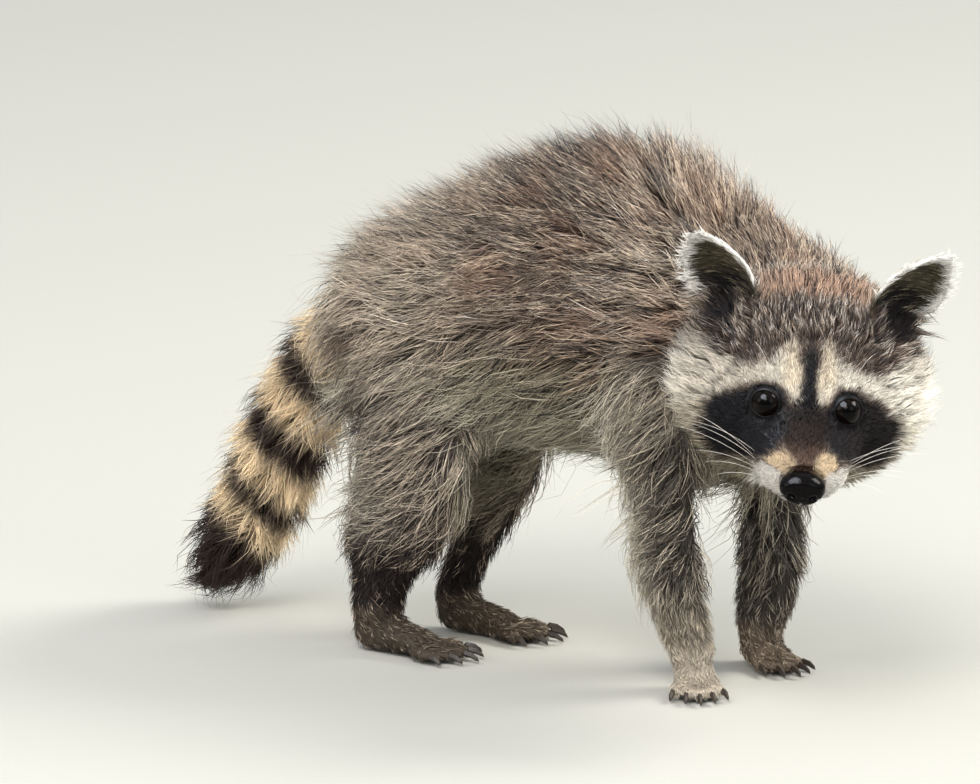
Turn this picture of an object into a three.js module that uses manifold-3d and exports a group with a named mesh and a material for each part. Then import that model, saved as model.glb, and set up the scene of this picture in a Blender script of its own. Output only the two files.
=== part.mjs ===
// A young raccoon standing with its back arched and its head low, turned to its right. Life size, in millimetres.
// +X runs along the trunk towards the shoulders, +Y to the animal's left, +Z up. The floor is at Z = 0, and the
// origin is on it, under the middle of the animal's bounding box. Every outline is the coat's, out to its tips.
import * as THREE from "three";
import { mergeVertices } from "three/addons/utils/BufferGeometryUtils.js";
import Module from "manifold-3d";

const wasm = await Module();
wasm.setup();

// Driving dimensions
const cutGap = 0.35; // left between two pieces that meet
const facetSlack = 0.12; // how far a surface may move when its smallest facets are merged
const solePlane = 0; // the level on which all four feet stand
const eyeRadius = 6.4;
const eyeSpacing = 32.4; // between the centres of the eyes
const earHeight = 36;
const earWidth = 31;
const clawLength = 8;
const toesPerFoot = 5;

const sides = [
  { name: "right", sign: -1 },
  { name: "left", sign: 1 },
];

// Colours
const furBrown = 0x7a6857;
const furDark = 0x3a322c;
const furPale = 0xb8ab97;
const furTan = 0x9a7c58;
const noseBlack = 0x121214;
const eyeBlack = 0x0b0a0a;
const clawBrown = 0x4a3d33;

// ---- Solids ----

function solidOf(geometry) {
  geometry.deleteAttribute("normal");
  geometry.deleteAttribute("uv");
  const merged = mergeVertices(geometry, 1e-4);
  return new wasm.Manifold(
    new wasm.Mesh({
      numProp: 3,
      vertProperties: new Float32Array(merged.attributes.position.array),
      triVerts: new Uint32Array(merged.index.array),
    }),
  );
}

function meshOf(name, solid, color, roughness = 0.9) {
  const mesh = solid.simplify(facetSlack).getMesh();
  const geometry = new THREE.BufferGeometry();
  geometry.setAttribute("position", new THREE.BufferAttribute(new Float32Array(mesh.vertProperties), 3));
  geometry.setIndex(new THREE.BufferAttribute(new Uint32Array(mesh.triVerts), 1));
  geometry.computeVertexNormals();
  const made = new THREE.Mesh(geometry, new THREE.MeshStandardMaterial({ color, roughness, metalness: 0 }));
  made.name = name;
  return made;
}

const vector = (p) => new THREE.Vector3(...p);
const radians = THREE.MathUtils.degToRad;
const joined = (solids) => solids.reduce((whole, next) => whole.add(next));
const moved = (solid, pose) => solid.transform(pose.elements);

// How much of its full size a rounded end has, from 0 at the tip to 1 where the rounding stops.
const rounded = (share) => (share >= 1 ? 1 : Math.sqrt(Math.max(0, 1 - (1 - share) ** 2)));

// A closed body along a path. Each section is [centre, half width, height above the centre, depth below it].
// A sphere's rows become the cross-sections and its poles the two ends, each rounded over endShare of the path.
// Sections stand across the path, or all face one way if facing is given, and side is the way of their width.
function bodyAlong(sections, options) {
  const { rows, columns, endShare, side = [0, 1, 0], facing = null, grow = 0 } = options;
  const evenRows = 0.55; // 1 spaces the rows evenly, 0 as on the sphere
  const centres = new THREE.CatmullRomCurve3(sections.map((s) => vector(s[0])), false, "catmullrom", 0.5);
  const sizes = new THREE.CatmullRomCurve3(sections.map((s) => vector(s.slice(1))), false, "catmullrom", 0.5);
  const geometry = new THREE.SphereGeometry(1, columns, rows);
  const places = geometry.attributes.position;
  const point = new THREE.Vector3();
  for (let i = 0; i < places.count; i++) {
    point.fromBufferAttribute(places, i);
    const row = Math.acos(THREE.MathUtils.clamp(point.y, -1, 1)) / Math.PI;
    const turn = Math.atan2(point.z, -point.x);
    const t = THREE.MathUtils.lerp((1 - Math.cos(Math.PI * row)) / 2, row, evenRows);
    const atPole = row < 1e-6 || row > 1 - 1e-6;
    const round = atPole ? 0 : rounded(t / endShare) * rounded((1 - t) / endShare);
    const along = facing ? vector(facing).normalize() : centres.getTangent(t);
    const up = new THREE.Vector3().crossVectors(along, vector(side)).normalize();
    const across = new THREE.Vector3().crossVectors(along, up).normalize();
    const size = sizes.getPoint(t);
    const extra = atPole ? 0 : grow;
    const wide = (size.x * round + extra) * Math.cos(turn);
    const high = ((Math.sin(turn) > 0 ? size.y : size.z) * round + extra) * Math.sin(turn);
    const made = centres.getPoint(t);
    made.addScaledVector(along, grow * (2 * t - 1));
    made.addScaledVector(across, wide);
    made.addScaledVector(up, high);
    places.setXYZ(i, made.x, made.y, made.z);
  }
  return solidOf(geometry);
}

// The two pieces of a solid that a plane through a point parts, with the gap between them: [beyond, behind].
function splitAt(solid, point, normal) {
  const ahead = vector(normal).normalize();
  const reach = vector(point).dot(ahead);
  const beyond = solid.trimByPlane(ahead.toArray(), reach + cutGap / 2);
  const behind = solid.trimByPlane(ahead.clone().negate().toArray(), -reach + cutGap / 2);
  return [beyond, behind];
}

// ---- Trunk ----

// Upright cross-sections from the rump to the breast
const trunkSections = [
  [[-122, 0, 127], 22, 20, 20],
  [[-104, 0, 134], 41, 38, 40],
  [[-74, 0, 141], 54, 49, 50],
  [[-38, 0, 147], 60, 61, 59],
  [[0, 0, 153], 60, 69, 65],
  [[34, 0, 154], 56, 71, 68],
  [[64, 0, 147], 50, 69, 71],
  [[90, 0, 137], 42, 59, 59],
  [[110, 0, 130], 26, 38, 34],
];
const waistX = 6; // where the chest ends and the abdomen begins

function trunkBody(grow) {
  return bodyAlong(trunkSections, { rows: 15, columns: 24, endShare: 0.07, facing: [1, 0, 0], grow });
}

// ---- Head ----

// The head's own frame has its origin midway between the eyes, +X towards the nose, +Y to its left and +Z up.
const headPlace = [148.4, -73.7, 138.1];
const headTurn = -60.2; // degrees about Z, to the animal's right
const headPitch = 22.3; // degrees, nose down
const headRoll = -6.8; // degrees, its left side lower
const headPose = new THREE.Matrix4()
  .makeTranslation(...headPlace)
  .multiply(new THREE.Matrix4().makeRotationZ(radians(headTurn)))
  .multiply(new THREE.Matrix4().makeRotationY(radians(headPitch)))
  .multiply(new THREE.Matrix4().makeRotationX(radians(headRoll)));

// From the nape to the brow
const skullSections = [
  [[-71, 0, -6], 24, 23, 21],
  [[-60, 0, -8], 40, 37, 30],
  [[-50, 0, -10], 50, 46, 35],
  [[-40, 0, -12], 56, 49, 38],
  [[-28, 0, -13], 58, 45, 41],
  [[-18, 0, -13], 54, 40, 41],
  [[-8, 0, -12], 46, 32, 38],
  [[0, 0, -11], 36, 24, 30],
  [[7, 0, -9], 24, 17, 21],
  [[11, 0, -9], 12, 11, 14],
];
// From inside the skull to the lips under the nose
const muzzleSections = [
  [[-20, 0, -6], 34, 20, 30],
  [[0, 0, -9], 30, 17, 27],
  [[9, 0, -11], 24.5, 14.5, 22],
  [[17, 0, -13], 20.5, 12, 17.5],
  [[26, 0, -14.5], 19, 10, 14.5],
  [[33, 0, -15.5], 14.5, 8, 11.5],
  [[38, 0, -16], 8.5, 6, 8],
];
const noseSections = [
  [[31, 0, -13], 6.5, 4.5, 5.5],
  [[36, 0, -13.3], 9.2, 5.8, 7],
  [[41, 0, -14], 8, 5, 6.2],
  [[43.5, 0, -14.2], 4, 3, 3.4],
];

function headFlesh(grow) {
  const options = { facing: [1, 0, 0], endShare: 0.06, grow };
  const skull = bodyAlong(skullSections, { ...options, rows: 15, columns: 24 });
  const muzzle = bodyAlong(muzzleSections, { ...options, rows: 9, columns: 18 });
  return skull.add(muzzle);
}

function nosePad(grow) {
  return bodyAlong(noseSections, { rows: 6, columns: 14, endShare: 0.2, facing: [1, 0, 0], grow });
}

function eyeball(sign, grow) {
  const eye = new THREE.SphereGeometry(eyeRadius + grow, 12, 8);
  eye.translate(4, (sign * eyeSpacing) / 2, 1);
  return solidOf(eye);
}

// All that lies under the mouth's line, which runs back from under the nose
const mouthFront = [34, 0, -23.5];
const mouthCornerX = 13;
const mouthSlope = 5; // degrees that the line drops towards the back
function jawRegion(grow) {
  const [length, width, depth] = [50, 60, 30];
  const region = new THREE.BoxGeometry(length + 2 * grow, width, depth + 2 * grow);
  region.translate(mouthCornerX + length / 2 - mouthFront[0], 0, -depth / 2);
  region.rotateY(radians(-mouthSlope));
  region.translate(...mouthFront);
  return solidOf(region);
}

// An ear is a bowl: a flattened sphere whose front is pushed in, narrower towards its rounded tip.
function earShell(sign) {
  const hollowDepth = 8;
  const wall = 3.2;
  const rootDepth = 9; // how far it reaches down into the coat of the head
  const ear = new THREE.SphereGeometry(1, 14, 9);
  const places = ear.attributes.position;
  for (let i = 0; i < places.count; i++) {
    const [x, y, z] = [places.getX(i), places.getY(i), places.getZ(i)];
    const share = Math.min(1, Math.hypot(x, y));
    const hollow = hollowDepth * (1 - share ** 2) * (1 - 0.35 * y);
    const narrowing = 1.16 - 0.26 * (y + 1) + 0.14 * (1 - y * y);
    const depth = z > 0 ? 0.9 * z - hollow : wall * z - hollow;
    places.setXYZ(i, (x * earWidth * narrowing) / 2, ((y + 1) * (earHeight + rootDepth)) / 2 - rootDepth, depth);
  }
  const tip = vector([0, sign * 0.48, 0.88]).normalize();
  const front = vector([0.93, sign * 0.36, -0.1]);
  const across = new THREE.Vector3().crossVectors(tip, front).normalize();
  const out = new THREE.Vector3().crossVectors(across, tip).normalize();
  ear.applyMatrix4(new THREE.Matrix4().makeBasis(across, tip, out).setPosition(-33, sign * 35, 24.5));
  return solidOf(ear);
}

function headGroup() {
  const features = joined([nosePad(cutGap), ...sides.map(({ sign }) => eyeball(sign, cutGap))]);
  const flesh = headFlesh(0).subtract(features);
  const group = new THREE.Group();
  group.add(meshOf("head", flesh.subtract(jawRegion(cutGap)), furPale));
  group.add(meshOf("lower_jaw", flesh.intersect(jawRegion(0)), furPale));
  group.add(meshOf("nose", nosePad(0), noseBlack, 0.35));
  for (const { name, sign } of sides) {
    group.add(meshOf(`eye_${name}`, eyeball(sign, 0), eyeBlack, 0.05));
    group.add(meshOf(`ear_${name}`, earShell(sign).subtract(headFlesh(cutGap)), furPale));
  }
  group.applyMatrix4(headPose);
  return group;
}

// ---- Neck ----

const neckSections = [
  [[72, 0, 156], 46, 46, 52],
  [[96, -5, 151], 45, 40, 47],
  [[114, -20, 148], 43, 37, 43],
  [[128, -38, 147], 40, 32, 36],
];

// ---- Tail ----

const tailSections = [
  [[-98, 0, 140], 15, 15, 15],
  [[-118, 0, 122], 19, 19, 19],
  [[-135, 1, 92], 21, 21, 21],
  [[-151, 2, 59], 21, 21, 21],
  [[-169, 3, 28], 19.5, 19.5, 19.5],
  [[-188, 4, 7.5], 12, 12, 12],
];
const tailCuts = [
  { point: [-130, 0, 100], normal: [-0.48, 0, -0.88] },
  { point: [-153, 0, 56], normal: [-0.48, 0, -0.88] },
];

// ---- Legs ----

// Each leg's sections run down from inside the trunk to the ankle: [centre, half thickness, behind, in front]
const legs = [
  {
    name: "fore_right",
    parts: ["upper_arm_right", "forearm_right", "forefoot_right"],
    sections: [
      [[52, -30, 148], 20, 32, 28],
      [[60, -42, 114], 19, 27, 24],
      [[67, -40, 84], 15, 20, 19],
      [[64, -36, 58], 13, 18, 18],
      [[67, -32, 36], 11, 15, 14],
      [[71, -29, 20], 9.5, 12, 11],
      [[74, -29, 9], 8, 9, 8],
    ],
    elbow: 84,
    wrist: 20,
    foot: { kind: "hand", ankle: [72, -28], heading: -56 },
  },
  {
    name: "fore_left",
    parts: ["upper_arm_left", "forearm_left", "forefoot_left"],
    sections: [
      [[58, 30, 148], 20, 32, 28],
      [[68, 38, 114], 18, 26, 24],
      [[75, 33, 82], 15, 19, 20],
      [[77, 29, 56], 13, 17, 18],
      [[76, 27, 34], 11, 15, 17],
      [[74, 26, 20], 9.5, 12, 13],
      [[75, 26, 9], 8, 9, 8],
    ],
    elbow: 82,
    wrist: 20,
    foot: { kind: "hand", ankle: [73, 26], heading: -30 },
  },
  {
    name: "hind_right",
    parts: ["thigh_right", "shank_right", "hindfoot_right"],
    sections: [
      [[-72, -24, 138], 22, 38, 30],
      [[-60, -37, 112], 22, 38, 36],
      [[-54, -41, 88], 19, 35, 36],
      [[-63, -38, 62], 15, 31, 28],
      [[-74, -33, 38], 11, 20, 17],
      [[-78, -31, 22], 10, 13, 13],
      [[-79, -31, 9], 9, 12, 10],
    ],
    elbow: 86,
    wrist: 20,
    foot: { kind: "foot", ankle: [-79, -31], heading: -4 },
  },
  {
    name: "hind_left",
    parts: ["thigh_left", "shank_left", "hindfoot_left"],
    sections: [
      [[-70, 26, 138], 22, 38, 30],
      [[-56, 34, 112], 21, 36, 34],
      [[-46, 32, 86], 18, 32, 27],
      [[-53, 26, 58], 13, 22, 15],
      [[-62, 20, 34], 10, 13, 10],
      [[-66, 17, 20], 9, 12, 9],
      [[-67, 16, 9], 9, 11, 9],
    ],
    elbow: 84,
    wrist: 19,
    foot: { kind: "foot", ankle: [-66, 16], heading: -2 },
  },
];

// Each foot's own frame has its origin on the floor under the ankle and +X towards the toes.
const footKinds = {
  hand: {
    sole: [
      [[-9, 0, 6], 7, 6, 7],
      [[0, 0, 8], 8.5, 8, 10],
      [[8, 0, 6.5], 9.5, 6, 8],
      [[15, 0, 5], 9.5, 4.5, 6],
    ],
    toeStart: 12,
    toeLength: 17,
    toeRadius: 2.9,
    toeSpread: 7, // degrees between one toe and the next
    toeSpacing: 3.7,
  },
  foot: {
    sole: [
      [[-12, 0, 7], 6.5, 7, 8],
      [[0, 0, 9], 8.5, 8, 11],
      [[15, 0, 7], 9.5, 6.5, 8],
      [[30, 0, 5], 11, 5, 7],
    ],
    toeStart: 27,
    toeLength: 20,
    toeRadius: 3.2,
    toeSpread: 9,
    toeSpacing: 4.3,
  },
};
const toeNumbers = [...Array(toesPerFoot).keys()];

// The middle toe reaches furthest, and the first and last are set back.
function toeLine(kind, number) {
  const off = number - (toesPerFoot - 1) / 2;
  const angle = radians(off * kind.toeSpread);
  const start = [kind.toeStart - 1.3 * off ** 2, off * kind.toeSpacing];
  const reach = kind.toeLength - 1.2 * Math.abs(off);
  const end = [start[0] + Math.cos(angle) * reach, start[1] + Math.sin(angle) * reach];
  return { angle, start, end };
}

function toe(kind, number) {
  const { start, end } = toeLine(kind, number);
  const radius = kind.toeRadius;
  const middle = [(start[0] + end[0]) / 2, (start[1] + end[1]) / 2];
  const sections = [
    [[...start, radius + 0.8], radius, radius, radius + 1],
    [[...middle, radius + 1.6], radius * 0.92, radius * 0.9, radius + 1.6],
    [[...end, radius - 0.6], radius * 0.86, radius * 0.8, radius],
  ];
  return bodyAlong(sections, { rows: 4, columns: 6, endShare: 0.2 });
}

// A claw is rooted inside the toe and bends down towards the floor without touching it.
function claw(kind, number, grow) {
  const { angle, end } = toeLine(kind, number);
  const root = kind.toeRadius + 0.5;
  const at = (reach, height) => [end[0] + Math.cos(angle) * reach, end[1] + Math.sin(angle) * reach, height];
  const sections = [
    [at(-3.6, root - 0.2), 1.1, 1.5, 1.2],
    [at(-0.5, root + 0.3), 1.2, 1.7, 1.3],
    [at(clawLength * 0.35, root - 0.7), 0.9, 1.3, 0.9],
    [at(clawLength * 0.65, 1.3), 0.35, 0.6, 0.5],
  ];
  return bodyAlong(sections, { rows: 4, columns: 5, endShare: 0.12, grow });
}

function footPose({ ankle, heading }) {
  const turn = new THREE.Matrix4().makeRotationZ(radians(heading));
  return new THREE.Matrix4().makeTranslation(...ankle, 0).multiply(turn);
}

function legSolids({ sections, elbow, wrist, foot }) {
  const kind = footKinds[foot.kind];
  const limb = bodyAlong(sections, { rows: 11, columns: 12, endShare: 0.06, side: [0, -1, 0] });
  const sole = bodyAlong(kind.sole, { rows: 5, columns: 9, endShare: 0.16 });
  const paw = joined([sole, ...toeNumbers.map((number) => toe(kind, number))]);
  const clawRoots = joined(toeNumbers.map((number) => claw(kind, number, cutGap)));
  const whole = limb
    .add(moved(paw, footPose(foot)))
    .subtract(moved(clawRoots, footPose(foot)))
    .trimByPlane([0, 0, 1], solePlane);
  const [upper, rest] = splitAt(whole, [0, 0, elbow], [0, 0, 1]);
  return [upper, ...splitAt(rest, [0, 0, wrist], [0, 0, 1])];
}

function clawGroup({ name, foot }) {
  const group = new THREE.Group();
  const kind = footKinds[foot.kind];
  for (const number of toeNumbers) {
    group.add(meshOf(`claw_${name}_${number + 1}`, claw(kind, number, 0), clawBrown, 0.5));
  }
  group.applyMatrix4(footPose(foot));
  return group;
}

// ---- The animal ----

function raccoon() {
  const animal = new THREE.Group();
  const headSpace = moved(headFlesh(cutGap), headPose);
  const trunkSpace = trunkBody(cutGap);

  const [chest, abdomen] = splitAt(trunkBody(0).subtract(headSpace), [waistX, 0, 0], [1, 0, 0]);
  animal.add(meshOf("chest", chest, furBrown));
  animal.add(meshOf("abdomen", abdomen, furBrown));
  animal.add(headGroup());

  const neck = bodyAlong(neckSections, { rows: 6, columns: 16, endShare: 0.1 });
  animal.add(meshOf("neck", neck.subtract(trunkSpace).subtract(headSpace), furBrown));

  const tail = bodyAlong(tailSections, { rows: 12, columns: 14, endShare: 0.1 }).subtract(trunkSpace);
  const [lowerTail, tailRoot] = splitAt(tail, tailCuts[0].point, tailCuts[0].normal);
  const [tailTip, tailMiddle] = splitAt(lowerTail, tailCuts[1].point, tailCuts[1].normal);
  animal.add(meshOf("tail_root", tailRoot, furTan));
  animal.add(meshOf("tail_middle", tailMiddle, furTan));
  animal.add(meshOf("tail_tip", tailTip, furDark));

  for (const leg of legs) {
    legSolids(leg).forEach((solid, i) => {
      animal.add(meshOf(leg.parts[i], solid.subtract(trunkSpace).subtract(headSpace), furDark));
    });
    animal.add(clawGroup(leg));
  }
  return animal;
}

const animal = raccoon();
const box = new THREE.Box3().setFromObject(animal, true);
const middle = box.getCenter(new THREE.Vector3());
animal.position.set(-middle.x, -middle.y, -box.min.z);

export default animal;
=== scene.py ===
import math
import time
import bpy
import bmesh
import numpy as np
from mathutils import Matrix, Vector
from mathutils.bvhtree import BVHTree
from mathutils.kdtree import KDTree


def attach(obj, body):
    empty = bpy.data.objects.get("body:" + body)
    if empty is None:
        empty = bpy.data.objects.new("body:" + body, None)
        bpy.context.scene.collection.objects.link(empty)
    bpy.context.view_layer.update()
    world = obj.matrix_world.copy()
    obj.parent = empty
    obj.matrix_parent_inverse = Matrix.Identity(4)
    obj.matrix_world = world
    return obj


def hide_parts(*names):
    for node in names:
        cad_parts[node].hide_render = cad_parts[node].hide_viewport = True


startTime = time.time()
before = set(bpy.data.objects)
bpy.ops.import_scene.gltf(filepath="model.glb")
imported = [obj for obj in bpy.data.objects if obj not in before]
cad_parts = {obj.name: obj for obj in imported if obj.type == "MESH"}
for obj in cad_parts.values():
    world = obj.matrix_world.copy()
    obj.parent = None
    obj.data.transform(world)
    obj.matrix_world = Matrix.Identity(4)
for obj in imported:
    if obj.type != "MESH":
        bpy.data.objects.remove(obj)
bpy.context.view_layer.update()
print("frame loaded")

# The animal's own measures are in mm, from a point on the floor between its feet.
animal = {
    "origin": (-1.1536, 23.4449, 0.0),
    "headPlace": (148.4, -73.7, 138.1),
    "headTurn": -60.2,
    "headPitch": 22.3,
    "headRoll": -6.8,
    "eyeSpacing": 32.4,
    "eyeRadius": 6.4,
    "eyeForward": 4.0,
    "eyeHeight": 1.0,
}


def toFrame(points):
    return (np.asarray(points, float) + animal["origin"]) / 1000


def fromFrame(points):
    return np.asarray(points, float) * 1000 - animal["origin"]


def turnMatrix(turn, pitch, roll):
    a, b, c = (math.radians(v) for v in (turn, pitch, roll))
    z = np.array([[math.cos(a), -math.sin(a), 0], [math.sin(a), math.cos(a), 0], [0, 0, 1]])
    y = np.array([[math.cos(b), 0, math.sin(b)], [0, 1, 0], [-math.sin(b), 0, math.cos(b)]])
    x = np.array([[1, 0, 0], [0, math.cos(c), -math.sin(c)], [0, math.sin(c), math.cos(c)]])
    return z @ y @ x


headTurn = turnMatrix(animal["headTurn"], animal["headPitch"], animal["headRoll"])


def toHead(points):  # x to the nose, y to the animal's left, z up, from between the eyes
    return (np.asarray(points, float) - animal["headPlace"]) @ headTurn


def fromHead(points):
    return np.asarray(points, float) @ headTurn.T + animal["headPlace"]


def unit(vectors):
    return vectors / np.maximum(np.linalg.norm(vectors, axis=-1, keepdims=True), 1e-9)


def ease(low, high, value):
    t = np.clip((value - low) / (high - low), 0, 1)
    return t * t * (3 - 2 * t)


def mix(a, b, amount):
    return a + (b - a) * amount


def reach(points, spot, stretch=1.0):
    return np.linalg.norm((points - np.array(spot)) * stretch, axis=-1)


def lumpy(points, size, seed):  # smooth noise from -1 to 1 with lumps of this size in mm
    draw = np.random.default_rng(seed)
    total = 0
    for _ in range(6):
        wave = unit(draw.normal(size=3)) * draw.uniform(0.7, 1.4) * 2 * math.pi / (size * 2.2)
        total = total + np.sin(points @ wave + draw.uniform(0, 6.28))
    return np.clip(total / 3, -1, 1)


def addObject(name, data):
    made = bpy.data.objects.new(name, data)
    bpy.context.scene.collection.objects.link(made)
    return made


view = {
    "eye": (2158.0, -3810.0, 1044.1),  # mm
    "aim": (-42.82, 1.91, 108.50),
    "lens": 393.4,
    "sensor": 36.0,
    "clip": (0.5, 60.0),  # m
}


def addCamera():
    data = bpy.data.cameras.new("camera")
    data.sensor_width = view["sensor"]
    data.lens = view["lens"]
    data.clip_start, data.clip_end = view["clip"]
    camera = addObject("camera", data)
    eye = Vector(toFrame(view["eye"]))
    aim = Vector(toFrame(view["aim"]))
    camera.location = eye
    camera.rotation_mode = "QUATERNION"
    camera.rotation_quaternion = (aim - eye).to_track_quat("-Z", "Y")
    bpy.context.scene.camera = camera


def toLinear(code):
    values = [int(code[i:i + 2], 16) / 255 for i in (1, 3, 5)]
    return tuple(v / 12.92 if v < 0.04045 else ((v + 0.055) / 1.055) ** 2.4 for v in values) + (1.0,)


def addNode(tree, kind, sockets=None, links=None, **settings):
    made = tree.nodes.new("ShaderNode" + kind)
    for name, value in settings.items():
        setattr(made, name, value)
    for name, value in (sockets or {}).items():
        made.inputs[name].default_value = value
    for name, source in (links or {}).items():
        tree.links.new(source, made.inputs[name])
    return made


def newMaterial(name):
    material = bpy.data.materials.new(name)
    material.use_nodes = True
    material.node_tree.nodes.clear()
    return material, material.node_tree


def finishMaterial(tree, shader):
    addNode(tree, "OutputMaterial", links={"Surface": shader.outputs[0]})


floor = {
    "colour": "#b4b4ae",
    "roughness": 0.9,
    "grain": 0.6,  # mm
    "half": 12.0,  # m
}


def floorPaint():  # matt emulsion, rolled: an even pale face with a faint stipple
    material, tree = newMaterial("mattEmulsion")
    place = addNode(tree, "TexCoord")
    stipple = addNode(tree, "TexNoise", {"Scale": 1000 / floor["grain"]},
                      {"Vector": place.outputs["Object"]})
    bump = addNode(tree, "Bump", {"Strength": 0.05, "Distance": 0.0001},
                   {"Height": stipple.outputs["Fac"]})
    shader = addNode(tree, "BsdfPrincipled",
                     {"Base Color": toLinear(floor["colour"]), "Roughness": floor["roughness"]},
                     {"Normal": bump.outputs["Normal"]})
    finishMaterial(tree, shader)
    return material


def addFloor():
    mesh = bpy.data.meshes.new("floor")
    side = floor["half"]
    corners = [(-side, -side, 0), (side, -side, 0), (side, side, 0), (-side, side, 0)]
    mesh.from_pydata(corners, [], [(0, 1, 2, 3)])
    mesh.materials.append(floorPaint())
    addObject("floor", mesh)


lights = {
    "sky": 1.05,
    "wall": "#85878a",
    "ceiling": "#f2f5f7",
    "aim": (0.02, 0.0, 0.12),  # m
    "glossOnly": ("glint",),
    "lamps": {  # place and width in m, watts, colour
        "key": ((0.7, -2.0, 2.2), 1.4, 62, "#fff8ee"),
        "fill": ((2.4, -0.6, 1.3), 1.6, 14, "#f1f5ff"),
        "rim": ((1.6, 1.6, 2.1), 1.4, 82, "#fffaf0"),
        "side": ((-1.7, -1.9, 1.3), 1.5, 17, "#fffaf2"),
        "glint": ((-0.34, -1.1, 2.3), 1.9, 260, "#eef4ff"),
    },
}


def addLights():
    world = bpy.data.worlds.new("softRoom")
    world.use_nodes = True
    bpy.context.scene.world = world
    tree = world.node_tree
    place = addNode(tree, "TexCoord")
    split = addNode(tree, "SeparateXYZ", links={"Vector": place.outputs["Generated"]})
    height = addNode(tree, "MapRange", {"From Min": 0.05, "From Max": 0.75}, {"Value": split.outputs["Z"]})
    wall, ceiling = (toLinear(lights[name]) for name in ("wall", "ceiling"))
    sky = addNode(tree, "MixRGB", {"Color1": wall, "Color2": ceiling}, {"Fac": height.outputs[0]})
    ground = tree.nodes["Background"]
    tree.links.new(sky.outputs[0], ground.inputs["Color"])
    ground.inputs["Strength"].default_value = lights["sky"]
    for name, (stand, size, watts, colour) in lights["lamps"].items():
        data = bpy.data.lights.new(name, "AREA")
        data.shape = "DISK"
        data.size = size
        data.energy = watts
        data.color = toLinear(colour)[:3]
        lamp = addObject(name, data)
        lamp.location = stand
        lamp.visible_diffuse = name not in lights["glossOnly"]
        aim = Vector(lights["aim"]) - lamp.location
        lamp.rotation_euler = aim.to_track_quat("-Z", "Y").to_euler()


addCamera()
addFloor()
addLights()
bpy.context.scene.view_settings.view_transform = "Standard"
print("camera, floor and lights made")

bodyLines = {  # middles of the body, limbs and tail, mm
    "trunk": [(-122, 0, 127), (-104, 0, 134), (-74, 0, 141), (-38, 0, 147), (0, 0, 153), (34, 0, 154),
              (64, 0, 147), (90, 0, 137), (110, 0, 130)],
    "neck": [(72, 0, 156), (96, -5, 151), (114, -20, 148), (128, -38, 147), (148, -74, 138)],
    "tail": [(-98, 0, 140), (-118, 0, 122), (-135, 1, 92), (-151, 2, 59), (-169, 3, 28), (-188, 4, 7.5)],
    "foreRight": [(52, -30, 148), (60, -42, 114), (67, -40, 84), (64, -36, 58), (67, -32, 36), (71, -29, 20),
                  (74, -29, 9)],
    "foreLeft": [(58, 30, 148), (68, 38, 114), (75, 33, 82), (77, 29, 56), (76, 27, 34), (74, 26, 20),
                 (75, 26, 9)],
    "hindRight": [(-72, -24, 138), (-60, -37, 112), (-54, -41, 88), (-63, -38, 62), (-74, -33, 38),
                  (-78, -31, 22), (-79, -31, 9)],
    "hindLeft": [(-70, 26, 138), (-56, 34, 112), (-46, 32, 86), (-53, 26, 58), (-62, 20, 34), (-66, 17, 20),
                 (-67, 16, 9)],
}
toeHeading = {"foreRight": -56, "foreLeft": -30, "hindRight": -4, "hindLeft": -2}  # degrees
zoneNames = ["trunk", "neck", "head", "earRight", "earLeft", "tail",
             "foreRight", "foreLeft", "hindRight", "hindLeft",
             "pawForeRight", "pawForeLeft", "pawHindRight", "pawHindLeft"]
zoneIndex = {name: i for i, name in enumerate(zoneNames)}


nodeZones = {
    "chest": "trunk",
    "abdomen": "trunk",
    "neck": "neck",
    "head": "head",
    "lower_jaw": "head",
    "tail": "tail",
    "ear": "ear*",
    "upper_arm": "fore*",
    "forearm": "fore*",
    "thigh": "hind*",
    "shank": "hind*",
    "forefoot": "pawFore*",
    "hindfoot": "pawHind*",
}
earSides = (("earRight", -1), ("earLeft", 1))


def zoneOfNode(name):
    side = "Right" if name.endswith("right") else "Left"
    for start, zone in nodeZones.items():
        if name.startswith(start):
            return zone.replace("*", side)
    raise ValueError(name)


def byZone(zones, feet, values):  # one value for each point from its zone's own
    result = np.full(len(zones), feet)
    for name, value in values.items():
        chosen = zones == zoneIndex[name]
        result[chosen] = np.broadcast_to(value, len(zones))[chosen]
    return result


def alongLine(points, line):  # distance along the line, its direction and its nearest point
    line = np.array(line, float)
    best = np.full(len(points), 1e9)
    far = np.zeros(len(points))
    heading = np.zeros((len(points), 3))
    nearest = np.zeros((len(points), 3))
    start = 0.0
    for k in range(len(line) - 1):
        a = line[k]
        edge = line[k + 1] - a
        size = np.linalg.norm(edge)
        t = (points - a) @ edge / size ** 2
        t = np.clip(t, -9 if k == 0 else 0, 9 if k == len(line) - 2 else 1)
        spot = a + t[:, None] * edge
        gap = np.linalg.norm(points - spot, axis=1)
        closer = gap < best
        best[closer] = gap[closer]
        far[closer] = start + t[closer] * size
        heading[closer] = edge / size
        nearest[closer] = spot[closer]
        start += size
    return far, heading, nearest


skinMake = {
    "overlap": 0.45,  # mm, closes the gaps between the solids
    "voxel": 1.9,
    "finer": [  # rounds of finer faces: place in the head's frame and reach, mm
        [((12.0, 0.0, -8.0), 34.0)],
        [((7.0, -16.2, 1.0), 11.0), ((7.0, 16.2, 1.0), 11.0), ((35.0, 0.0, -16.0), 13.0)],
    ],
    "thinShare": 0.36,  # the coat never goes deeper than this share of a thin part
    "thickest": 60.0,  # mm, from where a part counts as solid
}
fleshNames = [n for n in sorted(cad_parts) if not n.startswith(("claw", "eye", "nose"))]


def readArray(items, name, width, kind=float):
    values = np.zeros(len(items) * width, kind)
    items.foreach_get(name, values)
    return values.reshape(-1, width)


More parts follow.
